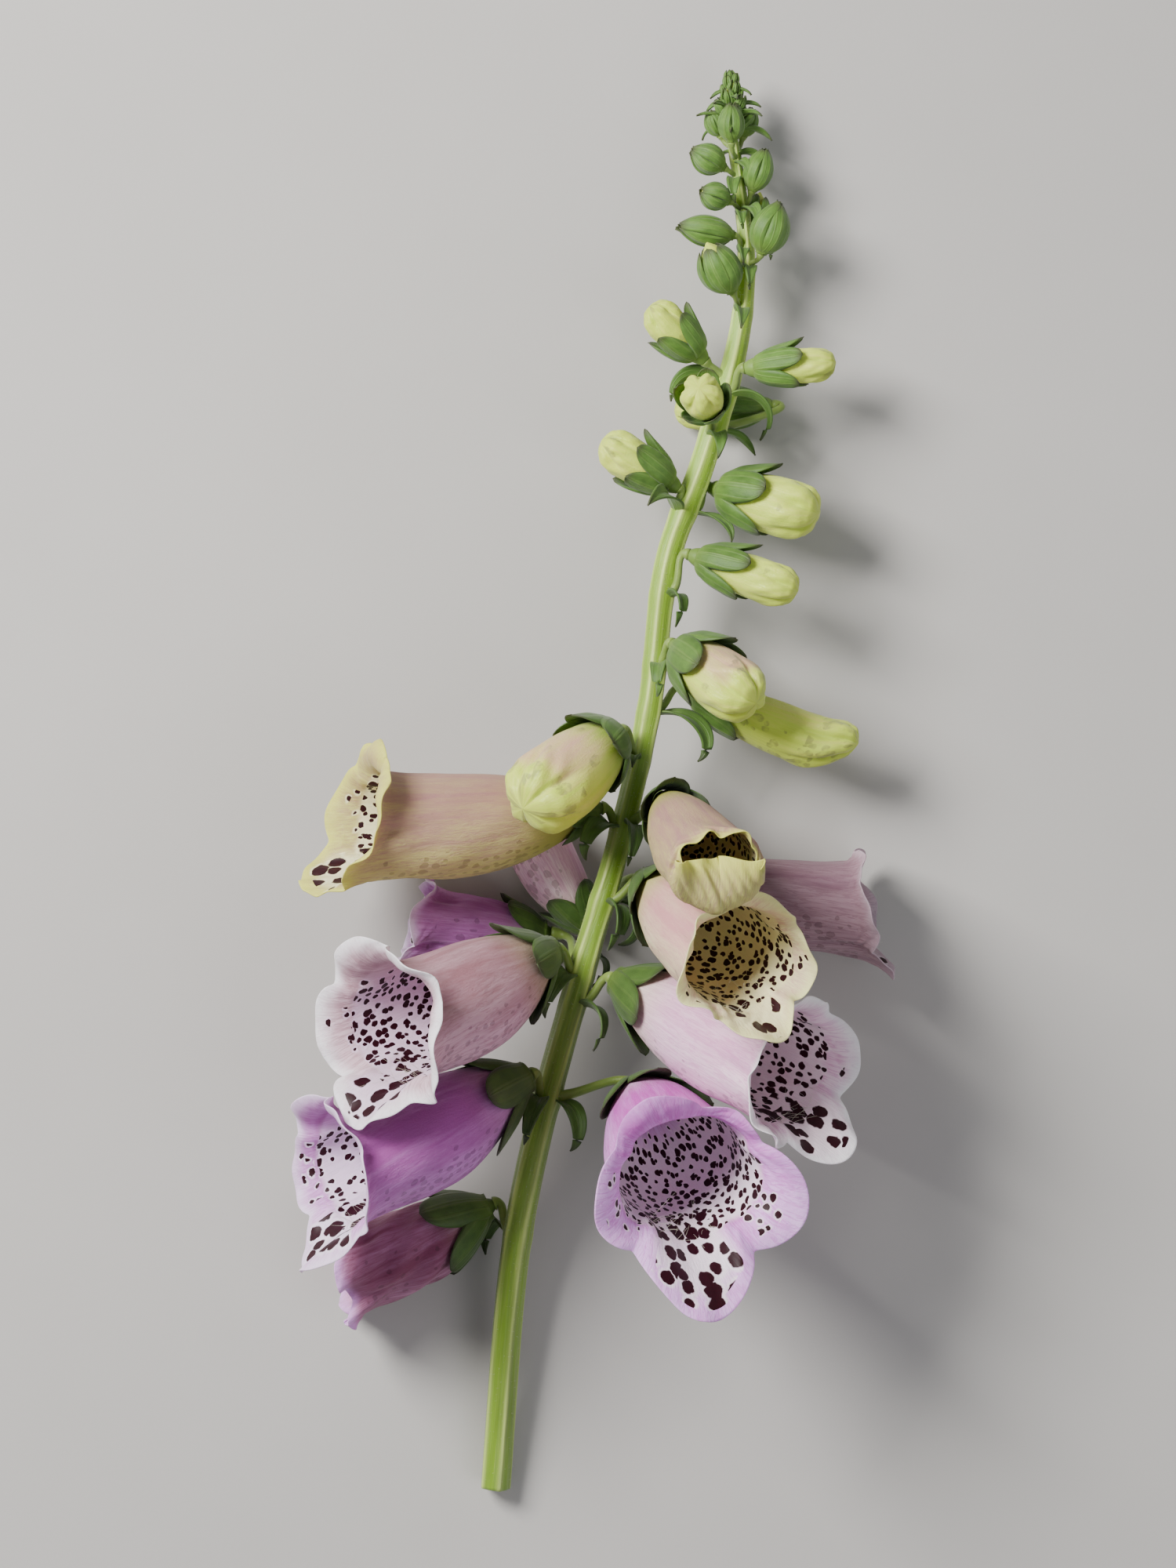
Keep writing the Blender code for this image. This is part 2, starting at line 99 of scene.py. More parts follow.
# A closed bud: node, foot, tip, width, how far the petals bend at the tip, bract (turn, length,
# droop) and look.
Bud = namedtuple("Bud", "node base tip width hook bract look")
LARGE_BUDS = (
    Bud(136, (-13, 141, 31), (-34, 124, 52), 19, 0.0, (-60, 8, 60), "blush"),
    Bud(147, (5, 151, 17), (42, 136, 22), 12.5, 0.25, (60, 15, 120), "speckled"),
    Bud(158, (1.5, 161, 28), (19, 148, 43), 14.5, 0.0, (60, 12, 150), "blush"),
    Bud(174, (6, 182, 24), (29, 174, 30), 10, 0.0, (60, 11, 130), "green"),
    Bud(194, (11, 198, 16), (34, 192, 24), 13.5, 0.0, (60, 10, 70), "green"),
    Bud(193, (0, 199, 21.5), (-16, 209, 25), 10, 0.0, (-60, 15, 60), "green"),
    Bud(213, (22, 218, 8), (1, 217, 5), 8.5, 0.0, (60, 8, 60), "speckled"),
    Bud(221, (19, 226, 20), (38, 227, 23), 8, 0.0, (-60, 13, 110), "green"),
    Bud(211, (8.5, 216, 26), (6, 220, 39), 9.5, 0.0, (-60, 10, 90), "green"),
    Bud(224, (6.5, 229, 19), (-5, 240, 23), 9, 0.0, (60, 12, 100), "green"),
)
SMALL_BUDS = (
    Bud(240, (14, 244, 19), (8, 255, 23), 9, 0.0, (-60, 9, 90), "green"),
    Bud(257, (19, 260, 9), (21, 268, 9), 5.5, 0.0, (60, 7, 100), "green"),
)
GREEN_BUDS = (
    Bud(250, (21, 253, 18), (25, 264, 20), 8.4, 0.0, (60, 9, 110), "green"),
    Bud(254, (14, 257, 17), (2, 259, 19), 6.2, 0.0, (-60, 8, 80), "green"),
    Bud(263, (13, 265, 17), (7, 267, 20), 5.5, 0.0, (-60, 7, 100), "green"),
    Bud(264, (19, 268, 14), (22, 277, 15), 6, 0.0, (60, 8, 120), "green"),
    Bud(271, (12, 273, 15), (5, 277, 16), 6.2, 0.0, (-60, 8, 130), "green"),
    Bud(278, (11.5, 281, 12), (9, 286, 13), 3.4, 0.0, (60, 6, 120), "green"),
    Bud(277, (17, 281, 10.5), (19, 287, 10), 3.8, 0.0, (60, 7, 140), "green"),
    Bud(275, (14, 279, 17), (14, 287, 18), 4.8, 0.0, (-60, 6, 120), "green"),
)

# Radius of a tube and of a bud against the share of its length, as shares of the largest.
TUBE_PROFILE = ((0.0, 0.16), (0.04, 0.25), (0.1, 0.38), (0.22, 0.58), (0.42, 0.81), (0.68, 0.94),
                (0.9, 0.96), (1.0, 1.0))
BUD_PROFILE = ((0.0, 0.12), (0.03, 0.35), (0.12, 0.62), (0.3, 0.86), (0.55, 1.0), (0.78, 0.96),
               (0.92, 0.72), (0.98, 0.38), (1.0, 0.05))
GREEN_PROFILE = ((0.0, 0.15), (0.06, 0.45), (0.2, 0.82), (0.42, 1.0), (0.65, 0.88), (0.84, 0.52), (1.0, 0.06))
# How far the tube bellies on its lower side, and how much wider than tall the mouth is.
BELLY = 0.14
FLATNESS = 0.1
# The five lobes in degrees from the lower one: lower, right, left, upper right, upper left.
LOBE_ANGLES = (0, 76, -76, 148, -148)
SIDE_LOBE_HALF_WIDTHS = (40, 40, 36, 36)
SIDE_LOBE_POINT = 0.6
NOTCH = 3.0
PETAL_WALL = 0.45
LEAF_WALL = 0.5
# What would sink into the surface is bent up to this height, over this softness.
REST_HEIGHT = 0.3
REST_SOFTNESS = 0.35
SEEDS = {"bell": 100, "calyx": 300, "bud": 500, "young_bud": 700, "tip": 900, "stem": 41}


# ---------------------------------------------------------------- small maths


def unit(v):
    v = np.asarray(v, float)
    return v / np.maximum(np.linalg.norm(v, axis=-1, keepdims=True), 1e-9)


def smooth(low, high, x):
    t = np.clip((np.asarray(x, float) - low) / (high - low), 0, 1)
    return t * t * (3 - 2 * t)


def curve_through(table, x):
    """A rounded curve through a table of (x, value)."""
    xs, ys = (np.array(column, float) for column in zip(*table))
    slopes = np.gradient(ys, xs)
    x = np.clip(np.asarray(x, float), xs[0], xs[-1])
    i = np.clip(np.searchsorted(xs, x, side="right") - 1, 0, len(xs) - 2)
    span = xs[i + 1] - xs[i]
    u = (x - xs[i]) / span
    return (
        (2 * u**3 - 3 * u**2 + 1) * ys[i]
        + (u**3 - 2 * u**2 + u) * span * slopes[i]
        + (3 * u**2 - 2 * u**3) * ys[i + 1]
        + (u**3 - u**2) * span * slopes[i + 1]
    )


def waves(rng, angle, low, high, count):
    """A smooth random curve round a circle, about -1 to 1."""
    total = np.zeros_like(angle, float)
    for _ in range(count):
        wave = np.sin(angle * rng.integers(low, high + 1) + rng.uniform(0, TAU))
        total += wave * rng.uniform(0.4, 1)
    return total / math.sqrt(count)


def wrapped(angle):
    """An angle brought between minus and plus half a turn."""
    return (angle + math.pi) % TAU - math.pi


def hump(off, width):
    return np.exp(-((off / width) ** 2))


def layered(*values):
    """Three values for every point of a grid, from arrays and numbers that fit together."""
    return np.stack(np.broadcast_arrays(*(np.asarray(v, float) for v in values)), -1)


def closed_grid(rows, cols):
    """Share of the length and angle for a closed body, with rows that crowd at its ends."""
    share = 0.5 - 0.5 * np.cos(np.linspace(0, math.pi, rows))
    return np.meshgrid(share, np.arange(cols) * TAU / cols, indexing="ij")


def grid_normals(middle, wrap=True):
    """The way out at every point of a grid (rows along, columns across)."""
    if wrap:
        across = np.roll(middle, -1, 1) - np.roll(middle, 1, 1)
    else:
        across = np.gradient(middle, axis=1)
    return unit(np.cross(across, np.gradient(middle, axis=0)))


def settled(points):
    """Points bent up where they would sink into the surface that the spike lies on."""
    points = np.array(points, float)
    height = (points[..., 2] - REST_HEIGHT) / REST_SOFTNESS
    points[..., 2] = REST_HEIGHT + REST_SOFTNESS * np.logaddexp(0, height)
    return points


def seeded(kind, number=0):
    return np.random.default_rng(SEEDS[kind] + number)


def catmull(points, t):
    """A rounded curve through points, at shares t of its way."""
    points = np.asarray(points, float)
    place = np.clip(np.asarray(t, float), 0, 1) * (len(points) - 1)
    i = np.minimum(place.astype(int), len(points) - 2)
    u = (place - i)[:, None]
    a, b = points[np.maximum(i - 1, 0)], points[i]
    c, d = points[i + 1], points[np.minimum(i + 2, len(points) - 1)]
    square = (2 * a - 5 * b + 4 * c - d) * u**2
    return 0.5 * (2 * b + (c - a) * u + square + (3 * b - a - 3 * c + d) * u**3)


# ---------------------------------------------------------------- the frame


def node_points(name):
    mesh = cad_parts[name].data
    flat = np.empty(len(mesh.vertices) * 3)
    mesh.vertices.foreach_get("co", flat)
    return flat.reshape(-1, 3) / MM


def foot_of(name, axis):
    """The point of a CAD node that lies farthest back along its axis."""
    points = node_points(name)
    return points[np.argmin(points @ np.asarray(axis, float))]


def shift_to_frame():
    """How far the plan's zero is from the frame's origin, read off the foot of the second bell."""
    bell = BELLS[1]
    axis = unit(np.subtract(bell.mouth, bell.base))
    return foot_of("corolla_02", axis) - np.array(bell.base, float)


SHIFT = shift_to_frame()
STEM_LINE = catmull(STEM_ROUTE, np.linspace(0, 1, 801))
STEM_LINE[:, :3] += SHIFT


def stem_at(node):
    """Middle, direction and radius of the stem at a height in the plan."""
    i = int(np.argmin(abs(STEM_LINE[:, 1] - (node + SHIFT[1]))))
    i = min(max(i, 6), len(STEM_LINE) - 7)
    along = unit(STEM_LINE[i + 6, :3] - STEM_LINE[i - 6, :3])
    return STEM_LINE[i, :3], along, STEM_LINE[i, 3]


class Seat:
    """Where a bell or a bud sits: its foot, its axis and the way to its lower lip."""

    def __init__(self, node_name, base, tip, lip=(0, -1, 0)):
        span = np.subtract(tip, base).astype(float)
        self.length = float(np.linalg.norm(span))
        self.axis = unit(span)
        self.base = foot_of(node_name, self.axis) if node_name else np.array(base, float) + SHIFT
        lower = np.array(lip, float)
        self.lower = unit(lower - lower @ self.axis * self.axis)
        self.side = np.cross(self.axis, self.lower)

    def point(self, along, out, angle):
        along, out, angle = np.broadcast_arrays(*(np.asarray(v, float) for v in (along, out, angle)))
        radial = np.cos(angle)[..., None] * self.lower + np.sin(angle)[..., None] * self.side
        return self.base + along[..., None] * self.axis + out[..., None] * radial


# ---------------------------------------------------------------- bodies made of surfaces


class Body:
    """Collects the surfaces of one piece, with what its material reads at each point.

    place is where a point lies on its petal or leaf, paint and marks say how it is coloured, and
    inner is 1 on a petal's inner face. The number a body is made with is painted shade: how far
    its leaves are darkened for the shade they lie in behind the bells and lower down the spike.
    """

    def __init__(self, painted_shade=0.0):
        self.painted_shade = painted_shade
        self.points, self.faces, self.slots = [], [], []
        self.place, self.paint, self.marks, self.inner = [], [], [], []
        self.count = 0

    def surface(self, points, faces, place, paint, marks=None, inner=0.0, slot=0):
        points = np.array(points, float).reshape(-1, 3)
        points[:, 2] = np.maximum(points[:, 2], 0)
        n = len(points)
        self.points.append(points)
        for held, values in ((self.place, place), (self.paint, paint), (self.marks, marks)):
            # Values not given take the piece's painted shade, which the leaf material reads from marks.
            if values is None:
                values = np.full(3, self.painted_shade)
            held.append(np.broadcast_to(np.asarray(values, float).reshape(-1, 3), (n, 3)))
        self.inner.append(np.broadcast_to(np.asarray(inner, float).ravel(), (n,)))
        self.faces += [[v + self.count for v in face] for face in faces]
        self.slots += [slot] * len(faces)
        self.count += n

    def shell(self, middle, wall, wrap, place, paint, marks=None, inner=(0.0, 0.0)):
        """A thin closed wall round a grid of points (rows along, columns across).

        place, paint and marks are the same on both faces, or a pair for the outer and inner face.
        """
        middle = settled(middle)
        rows, cols = middle.shape[:2]
        n = rows * cols
        half = np.broadcast_to(np.asarray(wall, float) / 2, (rows, cols))[..., None]
        offset = grid_normals(middle, wrap) * half
        faces = grid_faces(rows, cols, wrap)
        faces += [[v + n for v in reversed(face)] for face in faces] + rim_faces(rows, cols, wrap, n)

        def on_both(values):
            pair = values if isinstance(values, tuple) else (values, values)
            pair = [np.full(3, self.painted_shade) if v is None else v for v in pair]
            return np.concatenate([np.broadcast_to(v, (rows, cols, 3)).reshape(-1, 3) for v in pair])

        points = np.concatenate([(middle + offset).reshape(-1, 3), (middle - offset).reshape(-1, 3)])
        self.surface(points, faces, on_both(place), on_both(paint), on_both(marks), np.repeat(inner, n))

    def skin(self, rings, place, paint, marks=None, slot=0):
        """A closed body: rings of points (rows along, columns round) drawn to a point at each end."""
        rows, cols = rings.shape[:2]
        ends = np.stack([rings[0].mean(0), rings[-1].mean(0)])
        faces = grid_faces(rows, cols, True)
        first, last = rows * cols, rows * cols + 1
        top = (rows - 1) * cols
        for k in range(cols):
            after = (k + 1) % cols
            faces.append([first, after, k])
            faces.append([last, top + k, top + after])

        def closed(values):
            if values is None:
                return None
            values = np.broadcast_to(values, (rows, cols, 3))
            return np.concatenate([values.reshape(-1, 3), values[0, :1], values[-1, :1]])

        points = np.concatenate([rings.reshape(-1, 3), ends])
        self.surface(points, faces, closed(place), closed(paint), closed(marks), 0.0, slot)

    def finish(self, name, materials):
        mesh = bpy.data.meshes.new(name)
        points = np.concatenate(self.points) * MM
        mesh.from_pydata(points.tolist(), [], self.faces)
        for held, key in ((self.place, "place"), (self.paint, "paint"), (self.marks, "marks")):
            layer = mesh.attributes.new(key, "FLOAT_VECTOR", "POINT")
            layer.data.foreach_set("vector", np.concatenate(held).astype(np.float32).ravel())
        layer = mesh.attributes.new("inner", "FLOAT", "POINT")
        layer.data.foreach_set("value", np.concatenate(self.inner).astype(np.float32))
        for material in materials:
            mesh.materials.append(material)
        mesh.polygons.foreach_set("material_index", self.slots)
        mesh.shade_smooth()
        mesh.update()
        piece = bpy.data.objects.new(name, mesh)
        bpy.context.scene.collection.objects.link(piece)
        return piece


def grid_faces(rows, cols, wrap):
    i, j = np.meshgrid(np.arange(rows - 1), np.arange(cols if wrap else cols - 1), indexing="ij")
    here, after = i * cols + j, i * cols + (j + 1) % cols
    return np.stack([here, after, after + cols, here + cols], -1).reshape(-1, 4).tolist()


def rim_faces(rows, cols, wrap, n):
    """The strips that join the two sides of a shell along its edges."""
    faces = []
    last = (rows - 1) * cols
    for j in range(cols if wrap else cols - 1):
        k = (j + 1) % cols
        faces.append([last + j, last + k, n + last + k, n + last + j])
        faces.append([k, j, n + j, n + k])
    if not wrap:
        for i in range(rows - 1):
            a, b = i * cols, (i + 1) * cols
            faces.append([a, b, n + b, n + a])
            faces.append([b + cols - 1, a + cols - 1, n + a + cols - 1, n + b + cols - 1])
    return faces


def tube_rings(route, radii, sides, upward=(0, 0, 1)):
    """Rings round a route, without twist."""
    route = np.asarray(route, float)
    heading = unit(np.gradient(route, axis=0))
    first = np.asarray(upward, float)
    angles = np.arange(sides) * TAU / sides
    rings = []
    for place, along, radius in zip(route, heading, np.broadcast_to(radii, (len(route),))):
        first = unit(first - first @ along * along)
        second = np.cross(along, first)
        ring = np.cos(angles)[:, None] * first + np.sin(angles)[:, None] * second
        rings.append(place + ring * radius)
    return np.array(rings)


def bezier(a, b, c, d, count):
    t = np.linspace(0, 1, count)[:, None]
    return (1 - t) ** 3 * a + 3 * (1 - t) ** 2 * t * b + 3 * (1 - t) * t**2 * c + t**3 * d


# ---------------------------------------------------------------- bells

AROUND = 160
TUBE_ROWS = 34
LIMB_ROWS = 40
# How high the petal's frill, sway, dimples, seams between the lobes and keel stand.
FRILL = 0.5
SWAY = 1.35
DIMPLES = 0.5
SEAM = 1.3
KEEL = 0.8
# The same where the lower lip is still folded over the mouth.
CLOSED_DIMPLES = 1.4
CLOSED_SEAM = 0.3
SEAM_WIDTH = math.radians(8)
KEEL_WIDTH = math.radians(14)
NEIGHBOUR_LOBES = ((0, 1), (0, 2), (1, 3), (2, 4))
MOUTH_HAIRS = 26
# Side, share of the tube and degrees from its top for each stamen's anthers.
STAMENS = ((1, 0.66, 16), (-1, 0.66, 16), (1, 0.52, 34), (-1, 0.52, 34))
FILAMENT_PAINT = np.array([0.2, 0.0, 0.0])
ANTHER_PAINT = np.array([1.0, 0.0, 0.0])
STYLE_PAINT = np.array([0.0, 1.0, 0.0])

# The petal's middle face as a grid, with share of the tube, share of the lip, lip in millimetres
# and angle from the middle of the lower lip.
Petal = namedtuple("Petal", "middle share edge lip angle")


def tube_radius(throat, share, angle):
    bulge = 1 + BELLY * np.cos(angle) * np.sin(math.pi * np.clip(share, 0, 1))
    flat = 1 - FLATNESS * np.cos(2 * angle) * smooth(0.3, 1.0, share)
    return throat * curve_through(TUBE_PROFILE, share) * bulge * flat


def lobe_reach(bell, angle):
    """How far the lips reach past the throat all round the mouth."""
    reach = np.full_like(angle, NOTCH)
    points = (bell.point,) + (SIDE_LOBE_POINT,) * 4
    widths = (bell.wide,) + SIDE_LOBE_HALF_WIDTHS
    for centre, half, length, point in zip(LOBE_ANGLES, widths, bell.reach, points):
        off = abs(wrapped(angle - math.radians(centre))) / math.radians(half)
        lobe = NOTCH + (length - NOTCH) * np.cos(np.clip(off, 0, 1) * math.pi / 2) ** point
        reach = np.maximum(reach, lobe)
    blur = np.array([1, 3, 4, 3, 1]) / 12
    return np.convolve(np.concatenate([reach[-2:], reach, reach[:2]]), blur, "valid")


def lobe_value(values, angle):
    """A value given at the five lobes, read all round."""
    order = np.argsort(LOBE_ANGLES)
    degrees = (np.degrees(angle) + 180) % 360 - 180
    return np.interp(degrees, np.array(LOBE_ANGLES)[order], np.array(values, float)[order], period=360)


def bell_tube(bell, seat, rng):
    """Way along, radius, share of the length and angle over the rows of the tube."""
    share = np.linspace(0, 1, TUBE_ROWS) ** 1.15
    share, angle = np.meshgrid(share, np.arange(AROUND) * TAU / AROUND, indexing="ij")
    ribs = 0.012 * waves(rng, angle, 4, 9, 4) * share
    creases = bell.crumple * 0.05 * waves(rng, angle + share * 2.5, 3, 7, 5) * smooth(0.15, 0.6, share)
    radius = tube_radius(bell.throat, share, angle) * (1 + ribs + creases)
    # The upper side of the tube is shorter, so the mouth is cut at a slant.
    slant = 1 + bell.slant * np.cos(angle) * share**2
    return seat.length * share * slant, radius, share, angle


def add_limb(bell, along, radius, angle, reach):
    """Adds the rows of the lips, each turned a little more than the last by its lobe's curl."""
    curl = np.radians(lobe_value(bell.curl, angle))
    rise = np.arctan2(radius[-1] - radius[-3], along[-1] - along[-3])
    step = reach / LIMB_ROWS
    limb_along, limb_out = [along[-1]], [radius[-1]]
    for k in range(LIMB_ROWS):
        share = (k + 0.5) / LIMB_ROWS
        slope = rise + curl * np.where(curl < 0, share**0.5, share**1.15)
        limb_along.append(limb_along[-1] + step * np.cos(slope))
        limb_out.append(limb_out[-1] + step * np.sin(slope))
    return np.concatenate([along, limb_along[1:]]), np.concatenate([radius, limb_out[1:]])


def fold_up(seat, middle, radius, angle):
    """The lower lip of a bell that is still shut folds straight up over the mouth."""
    on_limb = (np.arange(len(radius)) >= TUBE_ROWS)[:, None]
    inward = np.maximum(radius[TUBE_ROWS - 1] - radius, 0) * on_limb
    inward = inward * smooth(105, 65, np.degrees(abs(wrapped(angle))))
    radial = np.cos(angle)[..., None] * seat.lower + np.sin(angle)[..., None] * seat.side
    return middle + inward[..., None] * (radial - seat.lower)


def petal_waves(bell, closed, share, edge, angle, rng):
    """How far each point stands out of the smooth bell."""
    dimple_height = CLOSED_DIMPLES if closed else DIMPLES
    seam_depth = CLOSED_SEAM if closed else SEAM
    frill = waves(rng, angle + 0.25 * edge, 9, 16, 6) * edge**2.5 * bell.frill * FRILL
    sway = waves(rng, angle + 0.3 * edge, 3, 8, 5) * edge**1.2 * bell.frill * SWAY
    dimples = waves(rng, angle + 0.8 * edge, 14, 26, 6) * edge * (1 - edge) * dimple_height
    near_mouth = smooth(0.72, 1.0, share)
    seams = np.zeros_like(edge)
    for low, high in NEIGHBOUR_LOBES:
        between = math.radians((LOBE_ANGLES[low] + LOBE_ANGLES[high]) / 2)
        seams -= hump(wrapped(angle - between), SEAM_WIDTH) * near_mouth * (1 - 0.4 * edge) * seam_depth
    keel = hump(wrapped(angle), KEEL_WIDTH) * near_mouth * KEEL
    return frill + sway + dimples + seams + keel


def bell_petal(bell, seat, rng):
    along, radius, share, angle = bell_tube(bell, seat, rng)
    angle = angle[0]
    reach = lobe_reach(bell, angle)
    along, radius = add_limb(bell, along, radius, angle, reach)
    angle = np.broadcast_to(angle, along.shape)
    share = np.concatenate([share, np.ones((LIMB_ROWS, AROUND))])
    limb_row = np.maximum(np.arange(len(along)) - TUBE_ROWS + 1, 0)
    edge = np.repeat(limb_row[:, None] / LIMB_ROWS, AROUND, 1)
    middle = seat.point(along, radius, angle)
    closed = bell.curl[0] < 0
    if closed:
        middle = fold_up(seat, middle, radius, angle)
    out = petal_waves(bell, closed, share, edge, angle, rng)
    middle = middle + grid_normals(middle) * out[..., None]
    return Petal(middle, share, edge, edge * reach, angle)


# How the colour lies on a bell of each look: flush on the tube's upper side and on its lower side,
# how green the foot is, how pale the margin, how many fine and bold spots, how white the throat,
# flush on the inner face.
Coat = namedtuple("Coat", "upper lower foot rim fine bold ground inside")
COATS = {
    "lilac": Coat(0.85, 0.45, 0.4, 0.3, 0.97, 0.97, 0.9, 1.0),
    "purple": Coat(0.9, 0.6, 0.35, 0.75, 0.75, 0.9, 0.7, 0.9),
    "rose": Coat(0.8, 0.75, 0.6, 0.85, 0.4, 0.1, 0.2, 0.8),
    "dusty": Coat(0.8, 0.3, 0.75, 0.95, 0.95, 0.75, 0.7, 0.45),
    "pink": Coat(0.5, 0.05, 0.5, 0.9, 0.9, 0.8, 0.8, 0.3),
    # The look of a bell in shade behind the others, its colouring set for painted shade.
    "painted_shade": Coat(0.6, 0.3, 0.6, 0.6, 0.7, 0.2, 0.5, 0.5),
    "cream": Coat(0.85, 0.05, 0.9, 0.9, 0.9, 0.5, 0.8, 0.3),
    "olive": Coat(0.8, 0.0, 0.9, 0.9, 0.9, 0.6, 0.8, 0.3),
}


def bell_paint(bell, petal, length, number, rng):
    """(place, paint, marks) of the outer and of the inner face."""
    _, tube, edge, lip, angle = petal
    coat = COATS[bell.look]
    signed = wrapped(angle)
    off = np.degrees(abs(signed))
    place = layered(signed * bell.throat + number * 37.0, tube * length + lip, signed + TAU * number)
    wander = 0.12 * waves(rng, angle, 2, 7, 4)
    flush = coat.lower + (coat.upper - coat.lower) * smooth(50, 130, off) + wander
    flush = flush * smooth(0.05, 0.4, tube) * (1 - 0.35 * edge)
    foot = coat.foot * (1 - smooth(0.12, 0.5, tube))
    # The margin's colour reaches further in along the middle line of the lower lip.
    rim = coat.rim * smooth(0.45, 1.0, edge) * (1 - 0.5 * smooth(0.0, 0.6, 1 - edge) * (off > 0))
    speckle = smooth(100, 40, off) * smooth(0.15, 0.4, tube) * (1 - smooth(0.0, 0.3, edge))
    outer = (place, layered(flush, rim, foot), layered(speckle * coat.fine, 0, 0))

    throat = smooth(140, 105, off) * smooth(0.12, 0.3, tube)
    floor = smooth(42, 26, off)
    sides = smooth(45, 60, off) * smooth(115, 95, off)
    sides = sides * smooth(0.1, 0.3, edge) * (1 - smooth(0.65, 0.8, edge))
    fine = coat.fine * throat * (1 - smooth(0.12, 0.3, edge)) * (1 - 0.6 * floor * smooth(0.85, 1.0, tube))
    fine = np.maximum(fine, 0.5 * coat.bold * sides)
    bold = coat.bold * floor * smooth(0.82, 0.95, tube) * (1 - smooth(0.75, 0.95, edge))
    white_throat = throat * (1 - smooth(0.05, 0.3, edge))
    white_floor = floor * smooth(0.7, 0.9, tube) * (1 - smooth(0.55, 0.9, edge))
    ground = coat.ground * np.maximum(white_throat, white_floor)
    mouth_ring = 0.5 * smooth(0.0, 0.12, edge) * smooth(0.4, 0.12, edge)
    flush = (0.25 + 0.5 * smooth(60, 130, off)) * (0.6 + 0.4 * smooth(0.2, 0.8, edge)) + mouth_ring
    flush = flush * coat.inside + wander
    inner = (place, layered(flush, rim, foot * 0.3), layered(fine, bold, ground))
    return outer, inner


def build_bell(number, bell):
    name = f"corolla_{number:02d}"
    rng = seeded("bell", number)
    seat = Seat(name, bell.base, bell.mouth, bell.lip)
    petal = bell_petal(bell, seat, rng)
    outer, inner = bell_paint(bell, petal, seat.length, number, rng)
    body = Body()
    wall = PETAL_WALL * (1 - 0.45 * petal.edge)
    body.shell(petal.middle, wall, True, *zip(outer, inner), inner=(0.0, 1.0))
    piece = body.finish(f"bell_{number:02d}", [PETALS[bell.look]])
    grown(piece, "petal_cream" if number > 8 else "petal_lilac", name)
    build_mouth_hairs(number, seat, petal, rng)
    build_stamens(number, bell, seat)
    return seat


def build_mouth_hairs(number, seat, petal, rng):
    """Long fine hairs on the floor of the mouth."""
    off = np.degrees(abs(wrapped(petal.angle)))
    rows, cols = np.nonzero((off < 40) & (petal.share > 0.8) & (petal.edge < 0.12))
    normal = grid_normals(petal.middle)
    body = Body()
    for pick in rng.integers(0, len(rows), MOUTH_HAIRS):
        i, j = rows[pick], cols[pick]
        way = -normal[i, j] + seat.axis * rng.uniform(0.2, 1.1) + rng.normal(0, 0.25, 3)
        length = rng.uniform(3.0, 7.5)
        bend = rng.normal(0, 0.25, 3) + seat.axis * 0.2
        t = np.linspace(0, 1, 6)[:, None]
        route = petal.middle[i, j] + unit(way) * length * t + bend * length * t**2
        body.skin(tube_rings(route, np.linspace(0.04, 0.015, 6), 3), np.zeros(3), np.zeros(3))
    grown(body.finish(f"mouth_hairs_{number:02d}", [HAIR]), "petal_cream")


def add_anthers(body, tip, seat):
    """Two pollen pods, one to each side of a stamen's tip."""
    for lean in (-1, 1):
        across = unit(np.cross(seat.axis, -seat.lower)) * lean
        middle = tip + across * 1.5 - seat.axis * 0.4
        pod = catmull((tip + across * 0.2, middle, tip + across * 3 - seat.axis * 1.3), np.linspace(0, 1, 7))
        girth = 0.95 * np.sin(np.linspace(0.25, 2.9, 7)) ** 0.6
        body.skin(tube_rings(pod, girth, 10), pod[:, None, :], ANTHER_PAINT)


def add_style(body, bell, seat):
    """The ovary at the foot of the tube and the style that rises from it."""
    t = np.linspace(0.02, 0.72, 18)
    out = np.maximum(tube_radius(bell.throat, t, math.pi) - 1.0 - 0.9 * t, 0.2)
    girth = np.interp(t, (0.02, 0.08, 0.16, 0.24, 0.72), (1.3, 1.7, 1.2, 0.4, 0.3))
    route = seat.point(seat.length * t, out, math.pi)
    body.skin(tube_rings(route, girth, 10), np.zeros(3), STYLE_PAINT)


def build_stamens(number, bell, seat):
    """Four stamens and a style that lie along the upper wall of the tube."""
    body = Body()
    for side, reach, spread in STAMENS:
        t = np.linspace(0.06, reach, 14)
        angle = math.pi + side * math.radians(spread) * (1 - 0.6 * (t / reach))
        out = tube_radius(bell.throat, t, angle) - 1.4 - 1.2 * t
        route = seat.point(seat.length * t, np.maximum(out, 0.4), angle)
        body.skin(tube_rings(route, 0.45, 8), np.zeros(3), FILAMENT_PAINT)
        add_anthers(body, route[-1] + seat.axis * 0.3, seat)
    add_style(body, bell, seat)
    grown(body.finish(f"stamens_{number:02d}", [STAMEN]), "petal_cream")


# ---------------------------------------------------------------- calyx, pedicel, bract

# Material slots of a green piece; its leaves take the first.
STALK_SLOT = 1
CORE_SLOT = 2
STALK_ROWS = 22
SEPAL_ORDER = (0, 2, 4, 1, 3)
UNDER_SEPALS = (0, 2)
# Sepals of an open bell: length, half width and flare, and where they are not the usual ones.
USUAL_CALYX = (14.5, 6.6, 1.1)
CALYX_SIZES = {6: (9.5, 5.0, 0.6), 7: (9.5, 5.0, 0.6), 10: (13.0, 6.2, 1.1), 11: (8.0, 5.6, 0.1)}
# What the bracts' turn, length and droop in the plan are multiplied by.
BRACT_TURN = 0.6
BRACT_LENGTH = 1.35
BRACT_DROOP = 1.25


